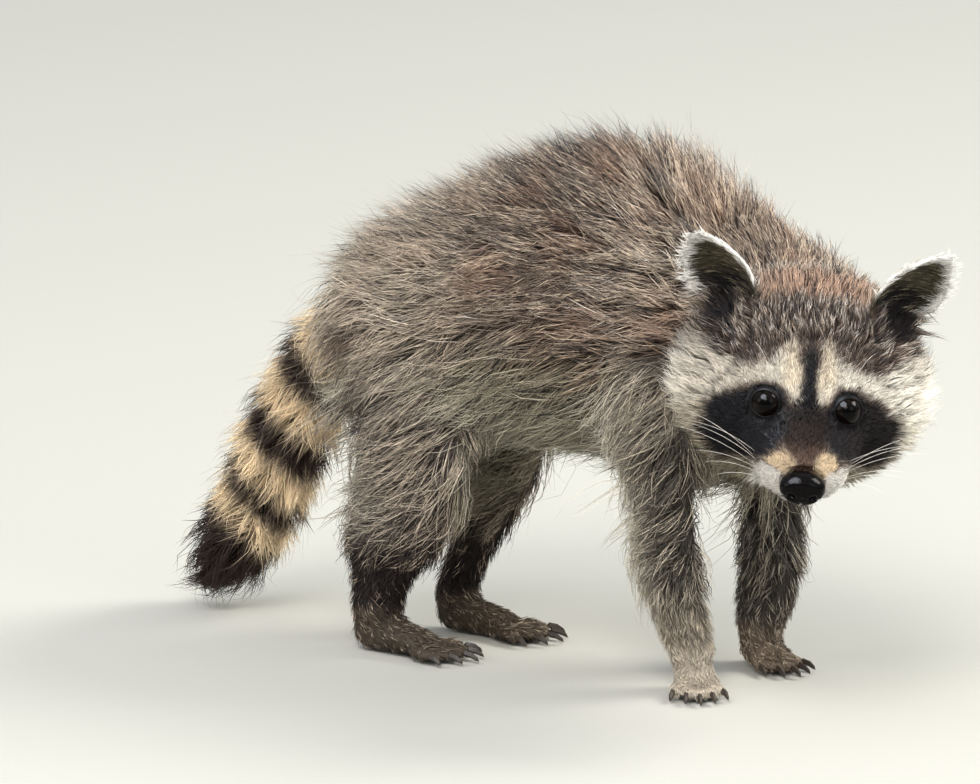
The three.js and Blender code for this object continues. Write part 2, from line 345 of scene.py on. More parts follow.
def flesh():
    joined = bmesh.new()
    points, solids, labels = [], [], []
    for name in fleshNames:
        zone = zoneIndex[zoneOfNode(name)]
        part = bmesh.new()
        part.from_mesh(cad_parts[name].data)
        bmesh.ops.remove_doubles(part, verts=part.verts, dist=1e-6)
        part.normal_update()
        part.verts.ensure_lookup_table()
        count = len(points)
        for face in part.faces:
            solids.append([v.index + count for v in face.verts])
            labels.append(zone)
        points.extend(v.co.copy() for v in part.verts)
        for vert in part.verts:
            vert.co += vert.normal * skinMake["overlap"] / 1000
        copy = bpy.data.meshes.new("part")
        part.to_mesh(copy)
        joined.from_mesh(copy)
        bpy.data.meshes.remove(copy)
        part.free()
    mesh = bpy.data.meshes.new("flesh")
    joined.to_mesh(mesh)
    joined.free()
    return mesh, BVHTree.FromPolygons(points, solids), np.array(labels)


def remeshed(mesh):
    holder = addObject("flesh", mesh)
    modifier = holder.modifiers.new("remesh", "REMESH")
    modifier.mode = "VOXEL"
    modifier.voxel_size = skinMake["voxel"] / 1000
    bpy.context.view_layer.update()
    depsgraph = bpy.context.evaluated_depsgraph_get()
    made = bpy.data.meshes.new_from_object(holder.evaluated_get(depsgraph))
    bpy.data.objects.remove(holder)
    return made


def eyePlaces():
    half = animal["eyeSpacing"] / 2
    return np.array([(animal["eyeForward"], side * half, animal["eyeHeight"]) for side in (-1, 1)])


lidMake = {
    "axis": (0.84, 0.26, 0.47),  # the way the opening faces, in the head's frame
    "wide": 60.0,  # degrees from the axis to the corners of the eye
    "tall": 53.0,
    "tilt": 24.0,  # how far the outer corner stands above the inner one
    "columns": 72,
    "profile": [(-0.5, -0.25), (0.0, 0.2), (1.5, 0.42), (6, 0.6), (18, 0.75), (30, 0.6), (42, 0.1),
                (46, -0.8), (30, -0.8), (8, -0.6)],  # degrees past the edge, mm out from the eyeball
}


def lidAxes(side):  # the way the eye faces, towards its outer corner, and square to both
    look = unit(np.array(lidMake["axis"]) * (1, side, 1))
    tilt = math.radians(lidMake["tilt"])
    corner = np.array([0, side * math.cos(tilt), math.sin(tilt)])
    corner = unit(corner - look * (corner @ look))
    return look, corner, np.cross(look, corner)


def lidEdge(share):  # share is the squared cosine of the angle from the corners' line
    return lidMake["tall"] + (lidMake["wide"] - lidMake["tall"]) * share


def lidOffset(off, side):  # distance from the eye's centre, and degrees past the lid's edge
    look, corner, upright = lidAxes(side)
    gap = np.maximum(np.linalg.norm(off, axis=-1), 1e-6)
    angle = np.degrees(np.arccos(np.clip(off @ look / gap, -1, 1)))
    a, b = off @ corner, off @ upright
    return gap, angle - lidEdge(a * a / np.maximum(a * a + b * b, 1e-9))


def lidRing(side, place):  # a closed ring of lid round the eyeball, with its faces and its two ways
    look, corner, upright = lidAxes(side)
    profile = np.array(lidMake["profile"])
    columns, rows = lidMake["columns"], len(profile)
    turn = np.linspace(0, 2 * math.pi, columns, endpoint=False)[:, None]
    angle = np.radians(lidEdge(np.cos(turn) ** 2) + profile[:, 0])[..., None]
    around = (corner * np.cos(turn) + upright * np.sin(turn))[:, None]
    out = look * np.cos(angle) + around * np.sin(angle)
    away = around * np.cos(angle) - look * np.sin(angle)
    verts = place + out * (animal["eyeRadius"] + profile[:, 1])[None, :, None]
    faces = []
    for c in range(columns):
        d = (c + 1) % columns
        for r in range(rows):
            e = (r + 1) % rows
            faces.append((c * rows + r, c * rows + e, d * rows + e, d * rows + r))
    return verts.reshape(-1, 3), faces, out.reshape(-1, 3), away.reshape(-1, 3)


earMake = {
    "seat": (-33.0, 35.0, 24.5),
    "tip": (0.0, 0.48, 0.88),
    "front": (0.93, 0.36, -0.10),
    "root": 9.0,
    "height": 45.0,  # mm, its root included
    "half": 15.5,
}


def earFrame(head, sign):  # height, outward and forward places on an ear, how near its rim, and its axes
    turn = np.array([1, sign, 1])
    tip = unit(np.array(earMake["tip"]) * turn)
    front = unit(np.array(earMake["front"]) * turn)
    outward = unit(np.cross(tip, front)) * sign
    off = head - np.array(earMake["seat"]) * turn
    rise, spread, ahead = off @ tip, off @ outward, off @ front
    v = np.clip((rise + earMake["root"]) / earMake["height"] * 2 - 1, -1, 1.2)
    u = spread / (earMake["half"] * (1.16 - 0.26 * (v + 1) + 0.14 * (1 - v * v)))
    return rise, spread, ahead, np.sqrt(u * u + v * v), (tip, outward, front)


def refined(mesh):  # finer faces on the head, then round the eyes and nose
    form = bmesh.new()
    form.from_mesh(mesh)
    for balls in skinMake["finer"]:
        head = toHead(fromFrame(np.array([v.co for v in form.verts])))
        near = np.zeros(len(head), bool)
        for spot, size in balls:
            near |= reach(head, spot) < size
        form.verts.ensure_lookup_table()
        form.verts.index_update()
        edges = [e for e in form.edges if near[e.verts[0].index] and near[e.verts[1].index]]
        bmesh.ops.subdivide_edges(form, edges=edges, cuts=1, use_grid_fill=True)
    bmesh.ops.triangulate(form, faces=[f for f in form.faces if len(f.verts) > 4])
    form.to_mesh(mesh)
    form.free()
    return mesh


def relax(values, edges, rates):
    count = np.maximum(np.bincount(edges.ravel(), minlength=len(values)), 1)
    a, b = edges[:, 0], edges[:, 1]
    flat = values.reshape(len(values), -1).copy()
    for rate in rates:
        for c in range(flat.shape[1]):
            total = np.bincount(a, flat[b, c], len(flat)) + np.bincount(b, flat[a, c], len(flat))
            flat[:, c] += rate * (total / count - flat[:, c])
    return flat.reshape(values.shape)


def meshNormals(mesh, points):
    mesh.vertices.foreach_set("co", points.ravel() / 1000)
    mesh.update()
    return readArray(mesh.vertices, "normal", 3)


def coatDepth(points, zones, normals):  # how deep the skin lies under the coat's face, mm
    head = toHead(points)
    height = points[:, 2]
    side = abs(head[:, 1])
    face = 1.3 + 2.2 * ease(6, -26, head[:, 0]) + 2.0 * ease(-26, -55, head[:, 0])
    face += 6.5 * ease(30, 46, side) * ease(18, -2, head[:, 2]) * ease(8, -22, head[:, 0])
    face += 3.5 * ease(-26, -40, head[:, 2]) * ease(12, -16, head[:, 0])
    face += 2.0 * temples(head)
    values = {
        "head": face,
        "neck": 9.0,
        "trunk": 13.0 + 2.0 * normals[:, 2],
        "tail": 10.5,
        "foreRight": mix(2.6, 9.5, ease(18, 100, height)),
        "foreLeft": mix(2.6, 9.0, ease(18, 100, height)),
        "hindRight": mix(2.4, 11.5, ease(22, 96, height)),
        "hindLeft": mix(2.4, 10.5, ease(22, 96, height)),
    }
    for name, sign in earSides:
        rise, _, _, edge, _ = earFrame(head, sign)
        values[name] = 0.5 + 1.5 * ease(0.84, 0.98, edge) * ease(4, 12, rise)
    return byZone(zones, 1.3, values)


def temples(head):  # between the ear and the cheek
    z = head[:, 2]
    return ease(26, 40, abs(head[:, 1])) * ease(2, 12, z) * ease(27, 17, z) * ease(6, -10, head[:, 0])


def hairLength(points, zones, normals):  # mm
    head = toHead(points)
    x, height = points[:, 0], points[:, 2]
    side = abs(head[:, 1])
    face = 3.4 + 5.0 * ease(2, -24, head[:, 0]) + 3.5 * ease(-26, -55, head[:, 0])
    face += 8.5 * ease(28, 46, side) * ease(22, 0, head[:, 2]) * ease(8, -18, head[:, 0])
    face += 5.0 * ease(-26, -40, head[:, 2]) * ease(12, -16, head[:, 0])
    face += 5.0 * temples(head)
    nearEye = np.minimum(*[reach(head, place) for place in eyePlaces()])
    face = mix(2.4, face, ease(7.5, 15, nearEye))
    trunk = mix(32.0, 23.0, ease(120, 180, height)) + 4.0 * ease(-40, -80, x)
    trunk += 8.0 * ease(45, 70, x) * ease(120, 95, height)
    trunk -= 15.0 * np.exp(-(reach(points, (-122, 0, 116)) / 30) ** 2)  # shorter over the tail's root
    fringe = ease(24, 50, height)
    values = {
        "head": face,
        "neck": mix(22.0, 18.0, ease(140, 180, height)),
        "trunk": trunk,
        "tail": mix(22.0, 20.0, ease(120, 165, alongLine(points, bodyLines["tail"])[0])),
        "foreRight": mix(6.0, 25.0, ease(18, 96, height)) + 9.0 * ease(0.0, -0.7, normals[:, 0]) * fringe,
        "foreLeft": mix(6.0, 23.0, ease(18, 96, height)) + 8.0 * ease(0.2, 0.8, normals[:, 1]) * fringe,
        "hindRight": mix(5.5, 30.0, ease(22, 84, height)),
        "hindLeft": mix(5.5, 27.0, ease(22, 84, height)),
    }
    for name, sign in earSides:
        rise, _, _, edge, _ = earFrame(head, sign)
        values[name] = 5.4 - 0.6 * ease(0.76, 0.92, edge) + 3.0 * ease(12, 0, rise)
    return byZone(zones, 4.2, values)


combing = {  # how far the coat leans away from the body's lines
    "trunk": 0.22,
    "shoulder": 0.55,
    "belly": 0.5,
    "drift": 0.16,
    "neck": 0.45,
    "fore": 1.05,
    "hind": 1.45,
    "paw": -0.55,
}


def headLie(head):  # back from the nose, out over the cheeks and round the eyes
    side = np.sign(head[:, 1])
    away = unit(head - (44, 0, -13))
    away[:, 0] -= 0.25
    away[:, 1] += 0.35 * side * ease(4, 20, abs(head[:, 1])) * ease(20, 0, head[:, 2])
    away[:, 1] += 0.9 * side * temples(head)
    for place in eyePlaces():
        off = head - place
        away += 1.6 * unit(off) * np.exp(-((reach(off, 0) - 6.5) / 3.5) ** 2)[:, None]
    return away


def earLie(head, normals, sign):  # up the ear, across its hollow and out at the rim
    rise, spread, _, edge, (tip, outward, front) = earFrame(head, sign)
    inside = ease(-0.1, 0.4, normals @ headTurn @ front)[:, None]
    sweep = tip * mix(1.0, 0.45, inside) + outward * 0.9 * inside
    fringe = tip * (rise - 8)[:, None] + outward * spread[:, None]
    return mix(sweep, unit(fringe), ease(0.8, 0.95, edge)[:, None])


def coatLie(points, zones, normals):  # the way the coat is combed
    lie = np.zeros((len(points), 3))
    down = np.array([0.0, 0.0, -1.0])
    for name in zoneNames:
        chosen = zones == zoneIndex[name]
        if not chosen.any():
            continue
        own = points[chosen]
        if name in bodyLines:
            heading = alongLine(own, bodyLines[name])[1]
        x, _, height = own.T[..., None]
        turn = (1 - abs(normals[chosen, 2]))[:, None]
        if name == "trunk":
            lean = combing["trunk"] + combing["shoulder"] * (ease(20, 80, x) * ease(165, 120, height))
            lean = lean + combing["belly"] * ease(165, 110, height)
            lean = lean + lumpy(own, 26, 13)[:, None] * combing["drift"]
            lie[chosen] = down * turn * lean - heading
        elif name == "neck":
            lie[chosen] = down * turn * combing["neck"] - heading
        elif name == "tail":
            lie[chosen] = heading
        elif name == "head":
            lie[chosen] = headLie(toHead(own)) @ headTurn.T
        elif name.startswith("ear"):
            lie[chosen] = earLie(toHead(own), normals[chosen], dict(earSides)[name]) @ headTurn.T
        elif name.startswith("paw"):
            angle = math.radians(toeHeading[name[3].lower() + name[4:]])
            lie[chosen] = (math.cos(angle), math.sin(angle), combing["paw"])
        else:
            back = np.array([-0.2, 0.7, 0]) if name == "foreLeft" else np.array([-1.0, 0, 0])
            lie[chosen] = heading + back * combing[name[:4]] * ease(25, 70, height) * (0.4 + 0.6 * turn)
    return lie


faceShape = {
    "padHeart": (24, 0, -20),  # mm, in the head's frame
    "padApart": 11,
    "padSwell": (1.3, 0.5),  # outward and upward
    "socketEdge": 15,
    "mouthDrop": 5,  # degrees
    "mouthFrom": 34,
    "mouthLow": 23.5,
}


def mouthLine(head):  # height over the line of the mouth
    drop = math.tan(math.radians(faceShape["mouthDrop"]))
    return head[:, 2] + faceShape["mouthLow"] + (faceShape["mouthFrom"] - head[:, 0]) * drop


def shapeFace(points):  # eye sockets, whisker pads and mouth
    head = toHead(points)
    side = np.sign(head[:, 1])
    outward, upward = faceShape["padSwell"]
    pads = np.exp(-(((head - faceShape["padHeart"]) * (0.11, 0, 0.12)) ** 2).sum(1))
    pads *= np.exp(-((abs(head[:, 1]) - faceShape["padApart"]) / 6) ** 2)
    head[:, 1] += side * pads * outward
    head[:, 2] += pads * upward
    for place, sign in zip(eyePlaces(), (-1, 1)):
        off = head - place
        gap, past = lidOffset(off, sign)
        lid = animal["eyeRadius"] + 0.5
        hug = np.maximum(lid, mix(lid, gap, ease(6, 42, past)))
        wanted = np.where(past < 6, animal["eyeRadius"] - 1.6, mix(gap, hug, ease(13, 9, gap)))
        near = (gap < faceShape["socketEdge"]) & (past < 52)
        head[near] = (place + unit(off) * wanted[:, None])[near]
    groove = np.exp(-(mouthLine(head) / 0.8) ** 2) * ease(12, 16, head[:, 0])
    head[:, 1] -= np.sign(head[:, 1]) * groove * 0.9
    head[:, 0] -= groove * 0.5
    return fromHead(head)


def addLids(mesh, fields):  # joins a ring of lid round each eye to the skin
    form = bmesh.new()
    form.from_mesh(mesh)
    for place, side in zip(eyePlaces(), (-1, 1)):
        verts, faces, out, away = lidRing(side, place)
        own, out, away = fromHead(verts), out @ headTurn.T, away @ headTurn.T
        made = [form.verts.new(tuple(p)) for p in toFrame(own)]
        for face in faces:
            form.faces.new([made[i] for i in face])
        added = {"inner": own, "outer": own + out, "normal": out, "lie": away,
                 "depth": np.full(len(own), 0.9), "length": np.full(len(own), 2.4),
                 "zone": np.full(len(own), zoneIndex["head"])}
        for name, value in added.items():
            fields[name] = np.concatenate([fields[name], value])
    bmesh.ops.recalc_face_normals(form, faces=form.faces)
    form.to_mesh(mesh)
    form.free()


def thickness(points, normals, mesh):  # mm of body behind each point
    own = toFrame(points)
    solid = BVHTree.FromPolygons([Vector(p) for p in own], [tuple(f.vertices) for f in mesh.polygons])
    thick = np.full(len(points), skinMake["thickest"])
    for i in range(len(points)):
        inward = -Vector(normals[i])
        hit = solid.ray_cast(Vector(own[i]) + inward * 0.0003, inward, 0.2)
        if hit[3] is not None:
            thick[i] = min(hit[3] * 1000, skinMake["thickest"])
    return thick


def buildSkin():
    raw, tree, labels = flesh()
    mesh = refined(remeshed(raw))
    points = fromFrame(readArray(mesh.vertices, "co", 3))
    edges = readArray(mesh.edges, "vertices", 2, int)
    points = relax(points, edges, [0.5, -0.52] * 6)
    zones = np.array([labels[tree.find_nearest(Vector(point))[2]] for point in toFrame(points)])
    normals = meshNormals(mesh, toFrame(points) * 1000)
    normals = unit(relax(normals, edges, [0.5] * 6))
    depth = relax(coatDepth(points, zones, normals), edges, [0.6] * 14)
    length = relax(hairLength(points, zones, normals), edges, [0.6] * 14)
    thick = relax(thickness(points, normals, mesh), edges, [0.5] * 8)
    depth = np.minimum(depth, thick * skinMake["thinShare"])
    inner = points - normals * depth[:, None]
    inner = shapeFace(relax(inner, edges, [0.5, -0.5] * 5 + [0.3] * 2))
    innerNormals = meshNormals(mesh, toFrame(inner) * 1000)
    innerNormals = unit(relax(innerNormals, edges, [0.5] * 4))
    lie = unit(relax(unit(coatLie(points, zones, normals)), edges, [0.6] * 16))
    fields = {"inner": inner, "outer": points, "normal": innerNormals, "lie": lie, "depth": depth,
              "length": length, "zone": zones}
    addLids(mesh, fields)
    mesh.polygons.foreach_set("use_smooth", [True] * len(mesh.polygons))
    mesh.update()
    skin = addObject("skin", mesh)
    mesh.calc_loop_triangles()
    corners = readArray(mesh.loop_triangles, "vertices", 3, int)
    fields["corners"] = corners
    fields["tree"] = BVHTree.FromPolygons([Vector(p) for p in fields["inner"]], [tuple(c) for c in corners])
    return skin, fields


skin, hide = buildSkin()
print("skin made, triangles", len(hide["corners"]), "seconds", round(time.time() - startTime, 1))

# Outlines on the face in mm: across from the middle, and up the face's own plane.
faceMarks = {
    "mask": [(6.5, -3), (8.5, 1), (10.5, 4.5), (14, 6.6), (20, 6.2), (26, 4.4), (33, 1.6), (39.5, -2.4),
             (42, -8), (41.5, -15), (37.5, -20.5), (30, -22.3), (22.5, -21.8), (17, -20), (13.5, -17.2),
             (11, -14.5), (8, -11)],
    "brow": [(4.2, -1), (6.8, 1.5), (9.6, 5), (13, 8.6), (20, 8.2), (27, 6.4), (34, 3.6), (41, -1), (52, -6),
             (66, -6), (66, 30), (54, 30), (47, 25), (40, 19.5), (31, 15.5), (23, 14.5), (16, 18),
             (12.5, 23), (9, 28), (6, 26), (4.4, 16), (3.6, 6)],
    "cheek": [(41, 0), (52, 4), (66, 0), (66, -40), (50, -56), (26, -60), (-9, -60), (-9, -40), (12, -38),
              (17.5, -24), (22.5, -23), (30, -23.5), (38, -21.5), (43, -15.5), (43.5, -8)],
    "lip": [(3.6, -28), (8.6, -26.4), (13.5, -24), (17.6, -21.8), (19.5, -27), (17, -35), (12, -40),
            (5, -43), (-9, -44), (-9, -38)],
    "tan": [(3.8, -19), (8, -16.6), (13, -17.4), (15.2, -21.4), (12.4, -24.8), (8, -27), (3.4, -28.5)],
    "bridge": [(-9, 0), (6.5, -2), (9.5, -8), (9.8, -14), (6.6, -17.6), (4.4, -20), (3.8, -29), (-9, -30)],
}
faceUp = np.array([-0.561, 0.0, 0.828])  # in the head's frame
stripeShape = {"up": [-6, 0, 6, 12, 20, 30, 40], "half": [8, 5.0, 3.4, 2.9, 2.7, 2.0, 1.0]}
tailRings = [(11, 25), (36, 50), (68, 83), (100, 109), (123, 200)]  # dark stretches, mm along the tail
markNames = ("black", "cream", "tan", "rust", "white", "brown", "olive", "pale", "tip", "tipTone", "dark",
             "bare")


def insideShape(across, up, corners, soft):
    a = np.array(corners, float)
    edge = np.roll(a, -1, 0) - a
    p = np.stack([across, up], 1)[:, None]
    off = p - a
    t = np.clip((off * edge).sum(2) / (edge ** 2).sum(1), 0, 1)
    gap = np.sqrt(((off - t[..., None] * edge) ** 2).sum(2)).min(1)
    high = off[..., 1] >= 0
    rise = np.where(abs(edge[:, 1]) < 1e-6, 1e-6, edge[:, 1])
    crosses = (high != (off[..., 1] >= edge[:, 1])) & (off[..., 0] < edge[:, 0] * off[..., 1] / rise)
    sign = np.where(crosses.sum(1) % 2 == 1, 1, -1)
    return ease(-soft, soft, sign * gap)


def paint(mark, own, **values):  # sets these marks where own is true
    for name, value in values.items():
        mark[name][own] = np.broadcast_to(value, own.shape)[own]


spots = {  # middles of patches, mm
    "shadeBesideTail": (-98, 45, 125),  # painted shade on the rump beside the tail's root
    "shadeBelowTail": (-93, 50, 106),
    "shadeOnThigh": (-89, 51, 103),
    # painted shadow on the neck behind the cheek
    "behindCheek": (60, -48, 139),
    "behindEar": (63, -50, 157),
    "behindFarEar": (-58, 42, -4),  # this and the next in the head's frame
    "earHole": (-34, 39, 24),
}
trunkMarks = {  # how much of each mark every region adds
    "pale": {"all": 0.48, "ridge": -0.04, "low": 0.29, "haunch": 0.74, "shoulder": 0.26, "flank": -0.42,
             "withers": 0.40, "patchy": 0.24},
    "tip": {"all": 0.50, "ridge": 0.36, "low": -0.42, "rump": -0.50, "shoulder": -0.12, "patchy": -0.16,
            "withers": -0.40},
    "tipTone": {"all": 0.18, "ridge": -0.18, "shoulder": 0.3},
    "dark": {"all": 0.14, "ridge": 0.18, "rump": -0.12, "shadow": 0.2, "withers": -0.12},
    "cream": {"low": 0.30, "rump": 0.32, "shoulder": 0.20},
    # olive is painted shade lit green by the grass, low on the body and on the flank
    "olive": {"low": 0.85, "flank": 0.40},
    "brown": {"shadow": 0.85},
    "black": {"shadow": 0.45},
}


def markTrunk(mark, points, zones, normals):  # grizzled, darker on the ridge, paler on the rump and below
    neck = zones == zoneIndex["neck"]
    own = neck | (zones == zoneIndex["trunk"])
    x, y, z = points.T
    up = normals[:, 2]
    sides = np.stack([x, abs(y), z], 1)
    at = {"all": 1.0, "ridge": ease(0.4, 0.95, up), "low": ease(0.05, -0.7, up), "rump": ease(10, -95, x)}
    at["haunch"] = at["rump"] * (1 - 0.3 * at["ridge"])
    at["shoulder"] = ease(10, 70, x) * (1 - at["ridge"]) * ease(105, 130, z)
    at["flank"] = ease(150, 118, z) * (1 - at["low"]) * ease(-60, -20, x)
    at["withers"] = at["ridge"] * ease(0, 60, x)
    at["patchy"] = 0.6 * lumpy(points, 10, 21) + 0.6 * lumpy(points, 5, 22)
    # painted shade: dark patches by the tail's root and behind the cheek
    rings = np.maximum(0.75 * ease(15, 8, reach(sides, spots["shadeBesideTail"])),
                       0.95 * ease(23, 13, reach(sides, spots["shadeBelowTail"], (1, 1, 1.3))))
    shadow = at["shadow"] = np.maximum(rings, 0.6 * ease(17, 8, reach(points, spots["behindCheek"])))
    sums = {name: sum(share * at[region] for region, share in shares.items())
            for name, shares in trunkMarks.items()}
    head = toHead(points)
    throat = ease(-20, -42, head[:, 2]) * ease(-70, -30, head[:, 0]) * neck
    nape = ease(-50, -62, head[:, 0]) * ease(10, 26, head[:, 2]) * ease(34, 20, abs(head[:, 1]))
    sums["pale"] = sums["pale"] * (1 - 0.9 * shadow)
    sums["cream"] = np.maximum(sums["cream"] * (1 - 0.95 * shadow), 0.7 * throat)
    sums["tip"] = np.maximum(np.clip(sums["tip"], 0.02, 1), 0.9 * nape)
    sums["dark"] = np.maximum(sums["dark"], 0.35 * nape)
    behindEar = np.exp(-(((points - spots["behindEar"]) / (15, 14, 11)) ** 2).sum(1))
    farEar = np.exp(-(reach(head, spots["behindFarEar"]) / 15) ** 2)
    warmth = 0.26 * ease(-0.3, 0.8, lumpy(points, 16, 31)) * ease(0, 0.5, up + 0.35)
    sums["rust"] = np.maximum(0.9 * np.maximum(behindEar, farEar) * (0.8 + 0.3 * at["patchy"]), warmth)
    paint(mark, own, **sums)


def markLimbs(mark, points, zones, normals):  # near-black underneath, with long pale hairs over it
    height = points[:, 2]
    ahead, left = normals[:, 0], normals[:, 1]
    upper = ease(90, 125, height)
    # olive on the legs and paws is painted shade lit green by the grass
    for name, pale, behind, wristPale, back in (
        ("foreRight", 0.58, 0.42, 0.30, ease(0.25, -0.7, ahead)),
        ("foreLeft", 0.36, 0.62, 0.0, ease(0.2, 0.9, left)),
    ):
        wrist = wristPale * ease(46, 20, height)
        paint(mark, zones == zoneIndex[name],
              pale=pale + behind * back + wrist,
              tip=0.05 + 0.3 * upper,
              cream=0.30 + 0.6 * back * ease(20, 46, height) * ease(134, 104, height),
              black=0.80 * (1 - back) * (1 - 2 * wrist) * (1 - 0.8 * upper),
              brown=0.2 * (1 - back),
              olive=0.25)
    upper = ease(92, 122, height)
    rear = ease(0.3, -0.6, ahead)
    sides = np.stack([points[:, 0], abs(points[:, 1]), height], 1)
    # painted shade on the thigh beside the tail's root
    shadow = ease(21, 11, reach(sides, spots["shadeOnThigh"], (1, 1, 1.2)))
    for name, outward in (("hindRight", -left), ("hindLeft", left)):
        inner = ease(0.1, -0.6, outward) * ease(30, 70, height)
        pale = 0.10 + 0.80 * ease(30, 60, height) + 0.14 * rear + 0.2 * inner
        shin = (0.5 * (1 - upper) + 0.3 * ease(60, 30, height)) * (1 - 0.7 * inner)
        paint(mark, zones == zoneIndex[name],
              pale=pale * (1 - 0.85 * shadow),
              cream=(0.18 + 0.45 * rear) * ease(36, 60, height) * (1 - 0.95 * shadow),
              tip=0.08 + 0.3 * upper,
              black=np.maximum(0.66 * (1 - 0.75 * upper) * (1 - inner), 0.5 * shadow),
              brown=np.maximum(shin, 0.85 * shadow),
              olive=np.maximum(0.85 * inner, 0.25 * rear * upper))
    for name, pale, cream, brown, black in (
        ("pawForeRight", 0.95, 0.55, 0.0, 0.0), ("pawForeLeft", 0.70, 0.0, 0.0, 0.25),
        ("pawHindRight", 0.30, 0.0, 0.6, 0.3), ("pawHindLeft", 0.30, 0.0, 0.6, 0.3),
    ):
        bare = ease(-0.35, -0.7, normals[:, 2]) * ease(6, 3, height)
        paint(mark, zones == zoneIndex[name], pale=pale, cream=cream, brown=brown, black=black, olive=0.2,
              bare=bare)


def markTail(mark, points, zones, ragged):
    far, _, nearest = alongLine(points, bodyLines["tail"])
    own = (zones == zoneIndex["trunk"]) & (far > 8) & (reach(points, nearest) < 25)
    own = own | (zones == zoneIndex["tail"])
    lean = (points - nearest) @ np.array([0.87, 0.5, 0.0])  # the rings slope towards the belly side
    far = far + ragged * 2.2 - 0.3 * lean
    dark = np.zeros(len(points))
    for start, stop in tailRings:
        dark = np.maximum(dark, ease(start - 2, start + 2, far) * ease(stop + 2, stop - 2, far))
    ringed = ease(4, 10, far)
    paint(mark, own, tan=(1 - dark) * ringed * 0.92, pale=0.95 - 0.85 * dark * ringed, tip=0.04,
          brown=dark * ringed * 0.95, rust=dark * ringed * 0.07, black=dark * ringed * 0.50)


def markHead(mark, points, zones, ragged):
    own = zones == zoneIndex["head"]
    head = toHead(points)
    x, y, z = head.T
    side = abs(y)
    across = side + (lumpy(points, 7, 5) + ragged) * 0.9
    up = head @ faceUp + lumpy(points, 6, 8) * 0.8 + ragged * 0.6
    up = up + 2.2 * ease(-5, -17, up) * ease(44, 34, side)
    front = ease(-30, -18, x)
    ends = {"brow": ease(-52, -38, x), "cheek": ease(-62, -46, x)}
    brow, cheek, lip, tan, bridge, mask = (
        insideShape(across, up, faceMarks[name], soft) * ends.get(name, front) for name, soft in
        (("brow", 1.8), ("cheek", 2.2), ("lip", 1.1), ("tan", 1.2), ("bridge", 1.4), ("mask", 1.7)))
    crown = ease(-30, -37, x) * ease(14, 24, z)
    half = np.interp(up, stripeShape["up"], stripeShape["half"])
    stripe = ease(half + 1.0, half - 1.0, across) * ease(38, 16, up) * ease(-8, -4, up)
    middle = ease(15, 8, across) * ease(-2, 12, up)
    # painted shade under the jaw: less cream, more olive and more dark hairs there
    under = ease(-20, -34, z)
    fade = ease(mix(27 + 9 * ease(24, 36, across), 40, middle), mix(10, 15, middle), up)
    brow = brow * fade  # fades into the forehead
    pale = np.clip(brow + cheek + lip + tan, 0, 1)
    plain = 1 - np.clip(pale + bridge + mask + stripe, 0, 1)
    throat = np.maximum(ease(0, -24, z) * ease(-36, -50, x), ease(-34, -42, z)) * plain
    shaded = ease(10, 30, -y) * ease(-40, -20, x)  # the side turned from the light
    # painted shade low on the side turned from the light
    shadedJowl = shaded * ease(8, -14, z)
    grizzled = plain * (1 - 0.7 * throat)
    muzzle = bridge * (1 - 0.40 * ease(-12, -21, up))
    # the mask is a little paler on the animal's left: a painted sheen
    black = np.maximum(mask * (1 - 0.05 * ease(8, 22, y)), stripe * (1 - 0.4 * bridge))
    black = black * (1 - 0.8 * bridge * ease(-9, -16, up)) * (1 - 0.2 * bridge)
    mouth = ease(1.3, 0.5, abs(mouthLine(head))) * ease(9, 14, x) * (1 - bridge)
    # painted shade: near black where the ear's hollow opens into the head
    earHole = ease(11.0, 6.5, reach(np.stack([x, side, z], 1), spots["earHole"], (1.0, 1.1, 0.8)))
    black = np.maximum(black, np.maximum(0.85 * mouth, 0.95 * earHole))
    clean = (1 - black) * (1 - 0.95 * bridge)
    hairy = 1 - earHole
    cream = np.maximum(brow * (1 - 0.35 * shaded), cheek * (1 - 0.75 * under) * (1 - 0.65 * shadedJowl))
    white = np.maximum(0.80 * lip * (1 - tan * 0.8), 0.40 * brow * (1 - middle) * (1 - 0.5 * shaded))
    # olive: painted shade lit green by the grass, under the jaw, on the shaded cheek and more on the left
    # cheek
    olive = np.maximum(0.75 * under, np.maximum(0.42 * shadedJowl, 0.20 + 0.18 * ease(26, 40, y)))
    rust = 0.86 * crown * ease(30, 20, side) * ease(-54, -46, x)
    nape = 0.5 * ease(-44, -54, x) * ease(10, 20, z)
    base = 0.10 + 0.70 * crown + 0.42 * throat
    paint(mark, own,
          pale=mix(base, 0.85, pale) * (1 - np.maximum(bridge, mask)) * hairy,
          tip=(0.85 - 0.50 * crown) * plain * hairy,
          tipTone=0.56 - 0.08 * ease(24, 44, side) - 0.25 * crown,
          cream=np.maximum(cream, 0.25 * crown) * clean,
          tan=np.maximum(brow * middle * 0.30 * (1 - lip), 0.68 * tan) * clean,
          white=white * clean,
          olive=np.maximum(olive * cheek * (1 - lip), 0.5 * throat) * hairy,
          rust=np.maximum(rust, 0.12 * bridge * ease(-8, -22, up)),
          dark=np.maximum(0.30 * grizzled + 0.22 * under * cheek * (1 - lip), nape),
          brown=np.maximum(np.maximum(muzzle, stripe * 0.4), 0.58 * grizzled * (1 - 0.9 * crown)),
          black=black)
    for place, sign in zip(eyePlaces(), (-1, 1)):
        gap, past = lidOffset(head - place, sign)
        paint(mark, own & (gap < 8.2), bare=ease(3, 1.5, past), black=1.0, cream=0.0, white=0.0, tan=0.0,
              pale=0.0)


